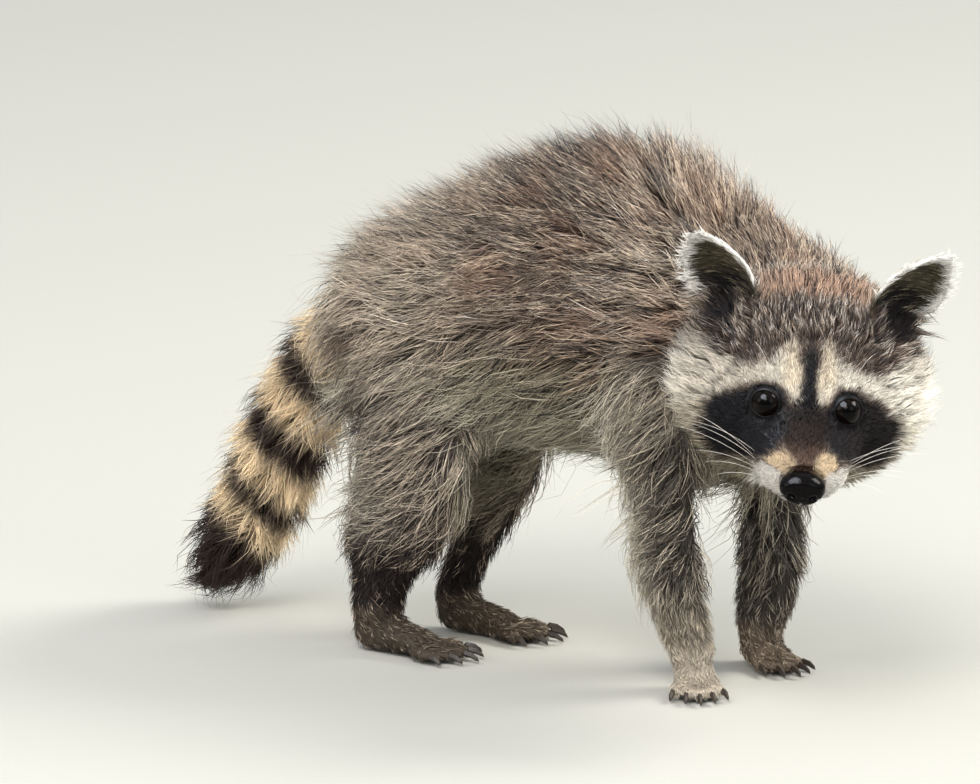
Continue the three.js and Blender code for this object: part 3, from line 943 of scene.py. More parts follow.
def markEars(mark, points, zones, normals):  # near black in the hollow, brown behind, white at the rim
    head = toHead(points)
    for name, sign in earSides:
        rise, _, _, edge, (_, _, front) = earFrame(head, sign)
        facing = ease(-0.2, 0.3, normals @ headTurn @ front)
        rim = ease(0.70, 0.82, edge) * ease(2, 9, rise)
        # painted shade, darker deeper down the hollow; olive there is painted shade lit green by the grass
        deep = ease(0.95, 0.45, edge) * ease(17, 6, rise)
        paint(mark, zones == zoneIndex[name],
              white=rim,
              olive=(1 - rim) * facing * 0.75,
              black=(1 - rim) * facing * (0.62 + 0.36 * deep),
              brown=(1 - rim) * (1 - facing) * 0.5,
              pale=mix(0.34 * (1 - 0.8 * deep), 1.0, rim),
              tip=0.0)


def markAt(points, zones, normals, ragged):
    mark = {name: np.zeros(len(points)) for name in markNames}
    markTrunk(mark, points, zones, normals)
    markLimbs(mark, points, zones, normals)
    markTail(mark, points, zones, ragged)
    markHead(mark, points, zones, ragged)
    markEars(mark, points, zones, normals)
    return mark


coatMake = {
    "seed": 41,
    "patch": 0.003,  # across one tuft on the coat's chart
    "under": 0.32,  # share of short, wide tufts that hide the skin
    "underSize": 0.62,
    "underWidth": 1.6,
    "stray": 0.05,  # share of fine hairs that stand off the coat
    "straySize": 1.12,
    "strayWidth": 0.5,
    "sway": 0.30,  # how far locks turn from the lie, radians
    "earSway": 0.10,
    "sizes": (0.72, 1.12),
    "widths": (0.7, 1.15),
    "quickWidth": 1.4,  # for half as many tufts
    "lockLengths": (0.8, 1.15),
    "lockLifts": (0.78, 1.12),
    "gather": (0.35, 1.0),  # how much of the way tufts go to the middle of their lock
    "floor": 0.5,  # mm, the lowest that a hair hangs
    "markedAt": 0.85,  # how far along a tuft its marks are read
    "ragged": (0.5, 0.5),  # mm, how far the edges of marks stray, by lock and by tuft
}
hairGaps = {  # room that hair leaves: mm from the eye's centre and degrees past its lids
    "roots": ((8.5, 2.5), (0.1, 12)),  # the second reach is from the eyeball itself
    "tips": ((9.0, 1.0), (0.3, 12)),
    "noseRoots": 6.5,
    "noseTips": 6.6,
}


def nearEyes(head, gaps):  # true where a point lies in the room kept for the eyes
    (far, wide), (close, low) = gaps
    near = np.zeros(head.shape[:-1], bool)
    for place, side in zip(eyePlaces(), (-1, 1)):
        gap, past = lidOffset(head - place, side)
        near |= (gap < far) & (past < wide)
        near |= (gap < animal["eyeRadius"] + close) & (past < low)
    return near


def faceFields(hide):  # what the coat needs to know about each face of the skin
    corners = hide["corners"]
    p = hide["inner"][corners]
    area = np.linalg.norm(np.cross(p[:, 1] - p[:, 0], p[:, 2] - p[:, 0]), axis=1) / 2
    zone = hide["zone"][corners[:, 0]]
    centre = p.mean(1)
    length = hide["length"][corners].mean(1)
    bare = markAt(centre, zone, hide["normal"][corners[:, 0]], np.zeros(len(centre)))["bare"]
    head = toHead(centre)
    nose = reach(head, noseMake["centre"], noseMake["clear"])
    bare = np.where(nearEyes(head, hairGaps["roots"]) | (nose < hairGaps["noseRoots"]), 1.0, bare)
    crowd = np.clip((14 / length) ** 0.8, 0.6, 3.2)  # short hair stands closer
    for name, sign in earSides:
        rim = ease(0.68, 0.82, earFrame(head, sign)[3])
        crowd = np.where(zone == zoneIndex[name], crowd * (1 + 1.6 * rim), crowd)
    hide.update(centre=centre, area=area, head=head, bare=bare, crowd=crowd)
    hide.update(faceZone=zone, faceLength=length)


def strew(hide, chosen, count, draw):  # roots spread evenly over the chosen faces
    total = np.cumsum(hide["area"] * hide["crowd"] * chosen)
    picks = (np.arange(count) + draw.random(count)) / count * total[-1]
    face = np.minimum(np.searchsorted(total, picks), len(total) - 1)
    a, b = draw.random((2, count))
    flip = a + b > 1
    a[flip], b[flip] = 1 - a[flip], 1 - b[flip]
    share = np.stack([1 - a - b, a, b], 1)
    corners = hide["corners"][face]
    seeds = {"zone": hide["zone"][corners[:, 0]]}
    for name, field in (("root", "inner"), ("normal", "normal"), ("lie", "lie")):
        seeds[name] = (hide[field][corners] * share[:, :, None]).sum(1)
    for name in ("depth", "length"):
        seeds[name] = (hide[name][corners] * share).sum(1)
    seeds["normal"], seeds["lie"] = unit(seeds["normal"]), unit(seeds["lie"])
    return seeds


def combGuides(hide, seeds, steps, draw, stand, sway):  # one path for each lock, marched over the skin
    count = len(seeds["root"])
    foot = seeds["root"].copy()
    normal, lie, depth = seeds["normal"], seeds["lie"], seeds["depth"]
    length = seeds["length"] * draw.uniform(*coatMake["lockLengths"], count)
    turn = draw.normal(0, sway, count)[:, None]
    body = np.isin(seeds["zone"], [zoneIndex["trunk"], zoneIndex["neck"]])
    ridge = ease(0.35, 0.9, normal[:, 2]) * body
    bow = mix(1.7, 1.1, ridge)
    lift = draw.uniform(*coatMake["lockLifts"], count) * stand * (1 + 0.2 * ridge)
    path = np.zeros((count, steps + 1, 3))
    path[:, 0] = foot
    for k in range(steps):
        flat = unit(lie - normal * (lie * normal).sum(1, keepdims=True))
        heading = flat * np.cos(turn) + np.cross(normal, flat) * np.sin(turn)
        run = np.sqrt(np.maximum(length ** 2 - depth ** 2, (0.4 * length) ** 2)) / steps
        foot = foot + heading * run[:, None]
        found = [hide["tree"].find_nearest(Vector(point)) for point in foot]
        spot = np.array([place for place, _, _, _ in found])
        corners = hide["corners"][[index for _, _, index, _ in found]]
        # hair that runs past an edge keeps going where it was headed
        held = (np.linalg.norm(foot - spot, axis=1) < 0.5 * run * (k + 1))[:, None]
        foot = np.where(held, spot, foot)
        normal = unit(np.where(held, hide["normal"][corners].mean(1), normal))
        lie = unit(np.where(held, hide["lie"][corners].mean(1), lie))
        depth = np.where(held[:, 0], hide["depth"][corners].mean(1), depth)
        rise = 1 - (1 - (k + 1) / steps) ** bow
        path[:, k + 1] = foot + normal * (depth * lift * rise)[:, None]
    for _ in range(2):
        path[:, 1:-1] += 0.4 * ((path[:, :-2] + path[:, 2:]) / 2 - path[:, 1:-1])
    return path


def growTufts(seeds, guides, guideRoots, draw, clump, curl):  # each tuft follows the nearest lock's path
    tree = KDTree(len(guideRoots))
    for i, point in enumerate(guideRoots):
        tree.insert(point, i)
    tree.balance()
    count = len(seeds["root"])
    owner = np.array([tree.find(point)[1] for point in seeds["root"]])
    shape = guides[owner] - guideRoots[owner][:, None]
    t = np.linspace(0, 1, guides.shape[1])[None, :, None]
    size = draw.uniform(*coatMake["sizes"], count)
    pick = draw.random(count)
    under = pick < coatMake["under"]
    stray = pick > 1 - coatMake["stray"]
    size[under] *= coatMake["underSize"]
    size[stray] *= coatMake["straySize"]
    own = seeds["root"][:, None] + shape * size[:, None, None]
    pull = draw.uniform(*coatMake["gather"], count) * clump * (1 - 0.8 * stray)
    own = own + (guideRoots[owner] - seeds["root"])[:, None] * pull[:, None, None] * t ** 1.4
    loose = (curl * np.linalg.norm(shape[:, -1], axis=1) * size * (1 + 0.7 * stray))[:, None]
    bend = draw.normal(0, 1, (count, 3)) * loose
    flex = draw.normal(0, 1, (count, 3)) * loose * 0.5
    own = own + bend[:, None] * t ** 2 * 0.5 + flex[:, None] * np.sin(t * math.pi)
    own = own + (seeds["normal"] * (seeds["depth"] * 0.22 * stray)[:, None])[:, None] * t ** 1.5
    own[:, 1:, 2] = np.maximum(own[:, 1:, 2], coatMake["floor"])
    return own, owner, under, stray


def chartPlace(points, zone):  # a point's place on the unwrapped skin
    name = zoneNames[zone]
    if name == "head":  # round from the back of the head
        head = toHead(points) - (-25, 0, -10)
        turn = np.arctan2(head[:, 2], head[:, 1])
        out = np.arccos(np.clip(head[:, 0] / np.linalg.norm(head, axis=1), -1, 1)) / math.pi
        return np.stack([0.5 + 0.5 * out * np.cos(turn), 0.5 + 0.5 * out * np.sin(turn)], 1)
    if name in dict(earSides):
        rise, spread, ahead, _, _ = earFrame(toHead(points), dict(earSides)[name])
        around = np.arctan2(ahead + 2, spread) / (2 * math.pi) + 0.5
        return np.stack([around, rise / earMake["height"]], 1)
    line = bodyLines[name if name in bodyLines else name[3].lower() + name[4:]]
    far, heading, nearest = alongLine(points, line)
    reference = np.array([0, 0, 1.0]) if name in ("trunk", "neck") else np.array([-1.0, 0, 0.3])
    first = unit(reference - heading * (heading @ reference)[:, None])
    off = points - nearest
    around = np.arctan2((off * np.cross(heading, first)).sum(1), (off * first).sum(1)) / (2 * math.pi) + 0.5
    return np.stack([around, far / 250], 1)


tuftShape = {  # width along a tuft, and its three corners across and up
    "along": [0, 0.3, 0.6, 0.85, 1],
    "width": [0.8, 1.0, 0.85, 0.5, 0],
    "corners": ((-1, -0.35), (1, -0.35), (0, 0.65)),
}


def tuftPlan(steps):  # loops, where faces start and places on the chart: rings closing on a point
    loops, starts, places = [], [], []
    for k in range(steps - 1):
        low, high = k / steps, (k + 1) / steps
        for j in range(3):
            nextJ = (j + 1) % 3
            starts.append(len(loops))
            loops += [3 * k + j, 3 * k + nextJ, 3 * k + 3 + nextJ, 3 * k + 3 + j]
            places += [(j / 3, low), ((j + 1) / 3, low), ((j + 1) / 3, high), (j / 3, high)]
    last = 3 * (steps - 1)
    for j in range(3):
        starts.append(len(loops))
        loops += [last + j, last + (j + 1) % 3, last + 3]
        places += [(j / 3, 1 - 1 / steps), ((j + 1) / 3, 1 - 1 / steps), ((j + 0.5) / 3, 1)]
    starts.append(len(loops))
    loops += [2, 1, 0]
    places += [(1, -0.3), (0.5, -0.05), (0, -0.3)]
    return np.array(loops), np.array(starts), np.array(places)


def addAttribute(mesh, name, kind, values):
    attribute = mesh.attributes.new(name, kind, "POINT")
    key = "color" if kind == "FLOAT_COLOR" else "value"
    attribute.data.foreach_set(key, values.ravel().astype(np.float32))


def tuftPiece(name, path, normal, width, chart, marks, mood, material):
    count, points = path.shape[:2]
    steps = points - 1
    along = np.linspace(0, 1, points)
    heading = unit(np.gradient(path, axis=1))
    side = unit(np.cross(heading, normal[:, None]))
    top = np.cross(side, heading)
    profile = np.interp(along, tuftShape["along"], tuftShape["width"])
    half = (width[:, None] * profile[None])[..., None] / 2
    rings = np.zeros((count, steps, 3, 3))
    for j, (across, up) in enumerate(tuftShape["corners"]):
        rings[:, :, j] = (path + side * half * across + top * half * up)[:, :steps]
    verts = np.concatenate([rings.reshape(count, -1, 3), path[:, -1:]], 1)
    perTuft = verts.shape[1]
    loops, starts, places = tuftPlan(steps)
    shift = np.arange(count)[:, None]
    mesh = bpy.data.meshes.new(name)
    mesh.vertices.add(count * perTuft)
    mesh.vertices.foreach_set("co", toFrame(verts.reshape(-1, 3)).ravel())
    mesh.loops.add(count * len(loops))
    mesh.loops.foreach_set("vertex_index", (loops[None] + shift * perTuft).ravel().astype(np.int32))
    mesh.polygons.add(count * len(starts))
    mesh.polygons.foreach_set("loop_start", (starts[None] + shift * len(loops)).ravel().astype(np.int32))
    mesh.update(calc_edges=True)
    mesh.polygons.foreach_set("use_smooth", np.ones(count * len(starts), bool))
    low, high = chart.min(0), chart.max(0)
    centre = 0.012 + 0.973 * (chart - low) / (high - low)
    flat = centre[:, None] + (places[None] - 0.5) * coatMake["patch"]
    layer = mesh.uv_layers.new(name="OFBake")
    layer.data.foreach_set("uv", flat.ravel().astype(np.float32))
    ringAlong = np.append(np.repeat(along[:steps], 3), 1.0)
    addAttribute(mesh, "along", "FLOAT", np.tile(ringAlong, count))
    rows = np.append(np.repeat(np.arange(steps), 3), steps)
    for title, values in (("mood", mood), ("marks", marks[0]), ("warmMarks", marks[1])):
        spread = np.repeat(values, perTuft, 0) if values.ndim == 2 else values[:, rows]
        addAttribute(mesh, title, "FLOAT_COLOR", spread)
    mesh.materials.append(material)
    return addObject(name, mesh), count * (6 * steps - 2)


def packMarks(mark):  # two sets of four channels, as the materials read them
    return [np.clip(np.stack([mark[name] for name in names], 1), 0, 1)
            for names in (("black", "cream", "white", "olive"), ("tan", "rust", "brown", "bare"))]


furColours = {
    "under": "#826f65",
    "band": "#e5d3bc",
    "tip": "#211d1b",
    "paleTip": "#ebe4db",
    "black": "#1a191e",
    "cream": "#f3ecdd",
    "white": "#faf8f4",
    # painted shade, tinted green by light thrown up from the grass
    "olive": "#7a7658",
    "tan": "#fae3bf",
    "rust": "#aa785a",
    "brown": "#302520",
    "skin": "#0d0b0b",
    "shade": "#c5c2bf",  # what the coat's shadow leaves of the markings on the skin
}
furMake = {
    "mottle": 3.0,  # mm, the scale at which bands and tips fall together
    "band": (0.12, 0.5),  # share of a hair's length over which the pale band comes in
    "tip": (0.45, 0.72),
    "root": (0.0, 0.55, 0.66),  # from, to, and how much light reaches the root
    "pores": 1.1,  # mm, coarser than life so that it shows
    "poreDepth": 0.4,
}


def furColour(tree):  # the markings, mixed over agouti hair: dull at the root, a pale band, then a tip
    names = ("along", "mood", "marks", "warmMarks")
    along, mood, marks, warm = (addNode(tree, "Attribute", attribute_name=name) for name in names)
    marksSplit = addNode(tree, "SeparateColor", links={"Color": marks.outputs["Color"]})
    warmSplit = addNode(tree, "SeparateColor", links={"Color": warm.outputs["Color"]})
    moodSplit = addNode(tree, "SeparateColor", links={"Color": mood.outputs["Color"]})
    pale, tip, tone = (moodSplit.outputs[name] for name in ("Red", "Green", "Blue"))
    low, high = furMake["band"]
    bandAt = addNode(tree, "MapRange", {"From Min": low, "From Max": high}, {"Value": along.outputs["Fac"]})
    place = addNode(tree, "TexCoord")
    mottle = addNode(tree, "TexNoise", {"Scale": 1000 / furMake["mottle"], "Detail": 1.5},
                     {"Vector": place.outputs["Object"]})
    more = addNode(tree, "MapRange", {"From Min": 0.38, "From Max": 0.60, "To Min": 0.22, "To Max": 1.15},
                   {"Value": mottle.outputs["Fac"]})
    less = addNode(tree, "MapRange", {"From Min": 0.38, "From Max": 0.62, "To Min": 1.25, "To Max": 0.45},
                   {"Value": mottle.outputs["Fac"]})
    pale = addNode(tree, "Math", links={0: pale, 1: more.outputs[0]}, operation="MULTIPLY")
    tip = addNode(tree, "Math", links={0: tip, 1: less.outputs[0]}, operation="MULTIPLY", use_clamp=True)
    bandMix = addNode(tree, "Math", links={0: bandAt.outputs[0], 1: pale.outputs[0]}, operation="MULTIPLY",
                      use_clamp=True)
    under, band, dark, light = (toLinear(furColours[name]) for name in ("under", "band", "tip", "paleTip"))
    colour = addNode(tree, "MixRGB", {"Color1": under, "Color2": band}, {"Fac": bandMix.outputs[0]})
    tipColour = addNode(tree, "MixRGB", {"Color1": dark, "Color2": light}, {"Fac": tone})
    low, high = furMake["tip"]
    tipAt = addNode(tree, "MapRange", {"From Min": low, "From Max": high}, {"Value": along.outputs["Fac"]})
    tipMix = addNode(tree, "Math", links={0: tipAt.outputs[0], 1: tip.outputs[0]}, operation="MULTIPLY")
    colour = addNode(tree, "MixRGB", links={"Fac": tipMix.outputs[0], "Color1": colour.outputs[0],
                                            "Color2": tipColour.outputs[0]})
    for name, source in (("brown", warmSplit.outputs["Blue"]), ("olive", marks.outputs["Alpha"]),
                         ("rust", warmSplit.outputs["Green"]), ("cream", marksSplit.outputs["Green"]),
                         ("tan", warmSplit.outputs["Red"]), ("white", marksSplit.outputs["Blue"]),
                         ("black", marksSplit.outputs["Red"])):
        colour = addNode(tree, "MixRGB", {"Color2": toLinear(furColours[name])},
                         {"Fac": source, "Color1": colour.outputs[0]})
    return colour.outputs[0], along.outputs["Fac"], mood.outputs["Alpha"], warm.outputs["Alpha"]


def guardHair():  # keratin fibre, grown and weathered: soft sheen along each hair, and painted shade darker towards the root
    material, tree = newMaterial("guardHair")
    colour, along, light, _ = furColour(tree)
    low, high, least = furMake["root"]
    rootShade = addNode(tree, "MapRange", {"From Min": low, "From Max": high, "To Min": least},
                        {"Value": along})
    shade = addNode(tree, "Math", links={0: rootShade.outputs[0], 1: light}, operation="MULTIPLY")
    grey = addNode(tree, "CombineColor", links={name: shade.outputs[0] for name in ("Red", "Green", "Blue")})
    shaded = addNode(tree, "MixRGB", {"Fac": 1.0}, {"Color1": colour, "Color2": grey.outputs[0]},
                     blend_type="MULTIPLY")
    shader = addNode(tree, "BsdfPrincipled", {"Roughness": 0.55, "Specular IOR Level": 0.13},
                     {"Base Color": shaded.outputs[0]})
    finishMaterial(tree, shader)
    return material


def furSkin():  # hide under the coat: matt, with the same markings as the hairs over it
    material, tree = newMaterial("furSkin")
    colour, _, _, bare = furColour(tree)
    shade, skinColour = (toLinear(furColours[name]) for name in ("shade", "skin"))
    shaded = addNode(tree, "MixRGB", {"Fac": 1.0, "Color2": shade}, {"Color1": colour},
                     blend_type="MULTIPLY")
    shaded = addNode(tree, "MixRGB", {"Color2": skinColour}, {"Fac": bare, "Color1": shaded.outputs[0]})
    wet = addNode(tree, "MapRange", {"To Min": 0.7, "To Max": 0.38}, {"Value": bare})
    place = addNode(tree, "TexCoord")
    pores = addNode(tree, "TexNoise", {"Scale": 1000 / furMake["pores"], "Detail": 4.0},
                    {"Vector": place.outputs["Object"]})
    bump = addNode(tree, "Bump", {"Strength": 0.4, "Distance": furMake["poreDepth"] / 1000},
                   {"Height": pores.outputs["Fac"]})
    shader = addNode(tree, "BsdfPrincipled", {"Specular IOR Level": 0.10},
                     {"Base Color": shaded.outputs[0], "Roughness": wet.outputs[0],
                      "Normal": bump.outputs["Normal"]})
    finishMaterial(tree, shader)
    return material


coatPieces = [  # name, zones, region, tufts, steps, mm between locks, mm width, standing, clump, curl, slot
    ("coatBackRight", ["trunk"], "highRight", 10500, 2, 4.4, 0.44, 1.1, 0.54, 0.13, "body_coat"),
    ("coatBackLeft", ["trunk"], "highLeft", 10500, 2, 4.4, 0.44, 1.1, 0.54, 0.13, "body_coat"),
    ("coatFlankRight", ["trunk"], "lowRight", 9000, 3, 4.8, 0.44, 1.0, 0.48, 0.14, "body_coat"),
    ("coatFlankLeft", ["trunk"], "lowLeft", 7200, 3, 4.8, 0.48, 1.0, 0.48, 0.14, "body_coat"),
    ("coatNeck", ["neck"], "all", 4600, 3, 4.2, 0.44, 1.05, 0.45, 0.12, "body_coat"),
    ("coatFaceShort", ["head"], "short", 26000, 1, 2.4, 0.26, 1.0, 0.25, 0.06, "face_coat"),
    ("coatFaceRight", ["head"], "faceRight", 8800, 2, 2.6, 0.32, 1.05, 0.32, 0.08, "face_coat"),
    ("coatFaceLeft", ["head"], "faceLeft", 8800, 2, 2.6, 0.32, 1.05, 0.32, 0.08, "face_coat"),
    ("coatCrown", ["head"], "crown", 8000, 2, 3.0, 0.36, 1.08, 0.4, 0.10, "face_coat"),
    ("coatEars", ["earRight", "earLeft"], "all", 7000, 2, 1.7, 0.27, 1.1, 0.12, 0.05, "ear_coat"),
    ("coatForeRight", ["foreRight"], "upper", 3900, 3, 4.0, 0.40, 1.0, 0.5, 0.18, "leg_coat"),
    ("coatForeLeft", ["foreLeft"], "upper", 3300, 3, 4.0, 0.42, 1.0, 0.5, 0.18, "leg_coat"),
    ("coatHindRight", ["hindRight"], "upper", 5200, 3, 4.4, 0.40, 1.0, 0.5, 0.18, "leg_coat"),
    ("coatHindLeft", ["hindLeft"], "upper", 3800, 3, 4.4, 0.42, 1.0, 0.5, 0.18, "leg_coat"),
    ("coatForePaws", ["foreRight", "foreLeft", "pawForeRight", "pawForeLeft"], "lower", 6000, 2, 3.0, 0.34,
     1.0, 0.35, 0.12, "leg_coat"),
    ("coatHindPaws", ["hindRight", "hindLeft", "pawHindRight", "pawHindLeft"], "lower", 6000, 2, 3.0, 0.34,
     1.0, 0.35, 0.12, "leg_coat"),
    ("coatTail", ["tail"], "all", 8600, 3, 3.8, 0.44, 1.18, 0.38, 0.12, "tail_coat"),
]
pieceEdges = {  # where pieces part, mm
    "backHeight": 160.0,
    "crown": -34.0,
    "shortHair": 6.5,
    "legHeight": 46.0,
}


def chooseFaces(hide, zones, region):
    _, y, z = hide["centre"].T
    high = z > pieceEdges["backHeight"]
    front = hide["head"][:, 0] > pieceEdges["crown"]
    short = hide["faceLength"] < pieceEdges["shortHair"]
    right = y < 0
    headRight = hide["head"][:, 1] < 0
    upper = z > pieceEdges["legHeight"]
    inside = {
        "all": upper | ~upper,
        "highRight": high & right,
        "highLeft": high & ~right,
        "lowRight": ~high & right,
        "lowLeft": ~high & ~right,
        "short": front & short,
        "faceRight": front & ~short & headRight,
        "faceLeft": front & ~short & ~headRight,
        "crown": ~front,
        "upper": upper,
        "lower": ~upper,
    }[region]
    return np.isin(hide["faceZone"], [zoneIndex[name] for name in zones]) * (1 - hide["bare"]) * inside


def clearOfFace(path):  # true for tufts that keep out of the eyes and off the nose
    head = toHead(path.reshape(-1, 3)).reshape(path.shape)
    nose = reach(head, noseMake["centre"], noseMake["clear"])
    return ~(nearEyes(head, hairGaps["tips"]) | (nose < hairGaps["noseTips"])).any(1)


tuftMoods = {  # how tufts and the locks they belong to differ
    "lockPale": 0.26,
    "lockTone": 0.4,
    "pale": (0.62, 1.0),
    "dull": (0.06, 0.38),
    "tip": (0.75, 1.0),
    "light": (0.5, 1.5),
    "tuftLight": 0.13,
    "lockLight": 0.12,
    "blackLight": (0.5, 1.6),
    "whiteLight": (0.98, 1.04),
    "tailTan": 1.16,
    "under": {"pale": 0.35, "tip": 0.3, "light": 0.84},
    "overDark": 0.2,  # what pale hairs leave of the brown and black they lie over
    "overBrow": 0.35,
    "darkLocks": 0.25,
    "bristles": (2.4, 0.55),  # dark hairs in dark locks and in the others
    "bristleBlack": 0.92,
}


def colourTufts(mark, owner, lockCount, under, zones, draw):  # each tuft's own mood and marks
    own = tuftMoods
    count = len(owner)
    lockPale = draw.normal(0, own["lockPale"], lockCount)[owner] * (mark["pale"] > 0.04)
    palePick = draw.random(count) < np.clip(mark["pale"] + lockPale, 0, 1)
    pale = np.where(palePick, draw.uniform(*own["pale"], count), draw.uniform(*own["dull"], count))
    tipPick = draw.random(count) < np.clip(mark["tip"] - lockPale, 0, 1)
    tip = np.where(tipPick, draw.uniform(*own["tip"], count), 0.1) * (mark["tip"] > 0.01)
    lockTone = draw.random(lockCount)[owner]
    tonePick = mix(draw.random(count), lockTone, own["lockTone"])
    tone = (tonePick < mix(mark["tipTone"], 0.5, 0.15)) * (mark["tipTone"] > 0.02)
    tone = tone.astype(float)
    pale[under] *= own["under"]["pale"]
    tip[under] *= own["under"]["tip"]
    light = draw.normal(1.0, own["tuftLight"], count) + draw.normal(0, own["lockLight"], lockCount)[owner]
    light = np.clip(light, *own["light"])
    light *= mix(1.0, draw.uniform(*own["blackLight"], count), ease(0.4, 0.9, mark["black"]))
    light[under] *= own["under"]["light"]
    light *= mix(1.0, own["tailTan"], ease(0.4, 0.8, mark["tan"] * (zones == zoneIndex["tail"])))
    light = np.where(mark["white"] > 0.5, np.clip(light, *own["whiteLight"]), light)
    head = zones == zoneIndex["head"]
    forehead = head & (mark["tip"] > 0.3)
    overlay = np.where(palePick & ~under & (forehead | ~head), own["overDark"], 1.0)
    overlay[forehead & tipPick & (tone > 0.5) & ~under] = own["overBrow"]
    legs = [zoneIndex[name] for name in zoneNames if "fore" in name.lower() or "hind" in name.lower()]
    ears = [zoneIndex[name] for name, _ in earSides]
    mark["brown"] = mark["brown"] * overlay
    mark["black"] = np.where(np.isin(zones, legs + ears), mark["black"] * overlay, mark["black"])
    lockDark = (draw.random(lockCount) < own["darkLocks"])[owner]
    bristle = (draw.random(count) < mark["dark"] * np.where(lockDark, *own["bristles"])) & ~under
    mark["black"][bristle] = own["bristleBlack"]
    mood = np.stack([pale, tip, tone, light], 1)  # band, tip, how pale the tip is, brightness
    return mood, packMarks(mark)


def ringMarks(path, seeds, ragged):  # marks read at every level of a tuft, not once for all of it
    levels = path.shape[1]
    fields = (np.repeat(values, levels, 0) for values in (seeds["zone"], seeds["normal"], ragged))
    mark = markAt(path.reshape(-1, 3), *fields)
    return [values.reshape(len(path), levels, 4) for values in packMarks(mark)]


def chartTufts(roots, zones):  # one unwrap for each zone, side by side
    chart = np.zeros((len(roots), 2))
    found = sorted(set(zones))
    for i, zone in enumerate(found):
        own = zones == zone
        chart[own] = chartPlace(roots[own], zone)
        if len(found) > 1:
            low, high = chart[own].min(0), chart[own].max(0)
            chart[own] = (chart[own] - low) / (high - low) * (0.96 / len(found), 1) + (i / len(found), 0)
    return chart


def buildCoat(hide, material):
    draw = np.random.default_rng(coatMake["seed"])
    faceFields(hide)
    triangles = 0
    for name, zones, region, count, steps, gap, width, stand, clump, curl, slotName in coatPieces:
        chosen = chooseFaces(hide, zones, region)
        lockCount = max(int((hide["area"] * chosen).sum() / gap ** 2), 60)
        guideSeeds = strew(hide, chosen, lockCount, draw)
        sway = coatMake["earSway"] if slotName == "ear_coat" else coatMake["sway"]
        guides = combGuides(hide, guideSeeds, steps, draw, stand, sway)
        seeds = strew(hide, chosen, count, draw)
        grown = growTufts(seeds, guides, guideSeeds["root"], draw, clump, curl)
        keep = clearOfFace(grown[0])
        path, owner, under, stray = (values[keep] for values in grown)
        seeds = {key: value[keep] for key, value in seeds.items()}
        count = len(path)
        marked = mix(path[:, 0], path[:, -1], coatMake["markedAt"])
        byLock, byTuft = coatMake["ragged"]
        ragged = byLock * draw.normal(0, 1, lockCount)[owner] + draw.normal(0, byTuft, count)
        mark = markAt(marked, seeds["zone"], seeds["normal"], ragged)
        mood, marks = colourTufts(mark, owner, lockCount, under, seeds["zone"], draw)
        if slotName == "tail_coat":  # the rings are banded across the hairs
            marks = ringMarks(path, seeds, ragged)
        widths = width * draw.uniform(*coatMake["widths"], count)
        widths *= np.where(under, coatMake["underWidth"], np.where(stray, coatMake["strayWidth"], 1.0))
        chart = chartTufts(seeds["root"], seeds["zone"])
        piece, size = tuftPiece(name, path, seeds["normal"], widths, chart, marks, mood, material)
        triangles += size
        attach(piece, "root")
        print(name, "triangles", size, "locks", lockCount, "seconds", round(time.time() - startTime, 1))
    print("coat triangles", triangles)


def paintSkin(skin, hide, material):
    mark = markAt(hide["outer"], hide["zone"], hide["normal"], np.zeros(len(hide["outer"])))
    mood = np.stack([mark["pale"], mark["tip"] * 0.5, mark["tipTone"], np.ones(len(mark["tip"]))], 1)
    # painted shade: the skin under the face's black fur takes the near-black bare skin colour, as dark as
    # the shaded hair
    darkFace = mark["black"] * (hide["zone"] == zoneIndex["head"])
    mark["bare"] = np.maximum(mark["bare"], 0.6 * darkFace)
    marks, warmMarks = packMarks(mark)
    for title, values in (("mood", mood), ("marks", marks), ("warmMarks", warmMarks)):
        addAttribute(skin.data, title, "FLOAT_COLOR", values)
    addAttribute(skin.data, "along", "FLOAT", np.full(len(mood), 0.35))
    skin.data.materials.clear()
    skin.data.materials.append(material)
    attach(skin, "root")
    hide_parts(*fleshNames)


eyeMake = {
    "iris": "#130c08",
    "rim": "#070505",
    "pupil": "#020202",
    "pupilReach": 24.0,  # degrees from the gaze
    "irisReach": 50.0,
    "fibre": 0.7,  # mm, coarser than life so that it shows
    "gaze": (0.85, 0.14, 0.50),
    "cornea": 0.45,  # mm it stands out
    "grid": (56, 72),
}


def smoothMesh(name, verts, faces, material):
    mesh = bpy.data.meshes.new(name)
    mesh.from_pydata([tuple(v) for v in verts], [], faces)
    mesh.polygons.foreach_set("use_smooth", [True] * len(faces))
    mesh.materials.append(material)
    mesh.update()
    return addObject(name, mesh)


def ballGrid(rows, columns):  # unit ball about x, as angles and faces
    verts = [(1.0, 0.0, 0.0)]
    for r in range(1, rows):
        out = math.pi * r / rows
        for c in range(columns):
            turn = 2 * math.pi * c / columns
            verts.append((math.cos(out), math.sin(out) * math.cos(turn), math.sin(out) * math.sin(turn)))
    verts.append((-1.0, 0.0, 0.0))
    faces = []
    for c in range(columns):
        d = (c + 1) % columns
        faces.append((0, 1 + c, 1 + d))
        for r in range(rows - 2):
            a, b = 1 + r * columns, 1 + (r + 1) * columns
            faces.append((a + c, b + c, b + d, a + d))
        a = 1 + (rows - 2) * columns
        faces.append((a + c, len(verts) - 1, a + d))
    return np.array(verts), faces


def aimed(verts, look):  # turns the ball's x to this direction
    side = unit(np.cross((0, 0, 1.0), look))
    return verts @ np.stack([look, side, np.cross(look, side)])


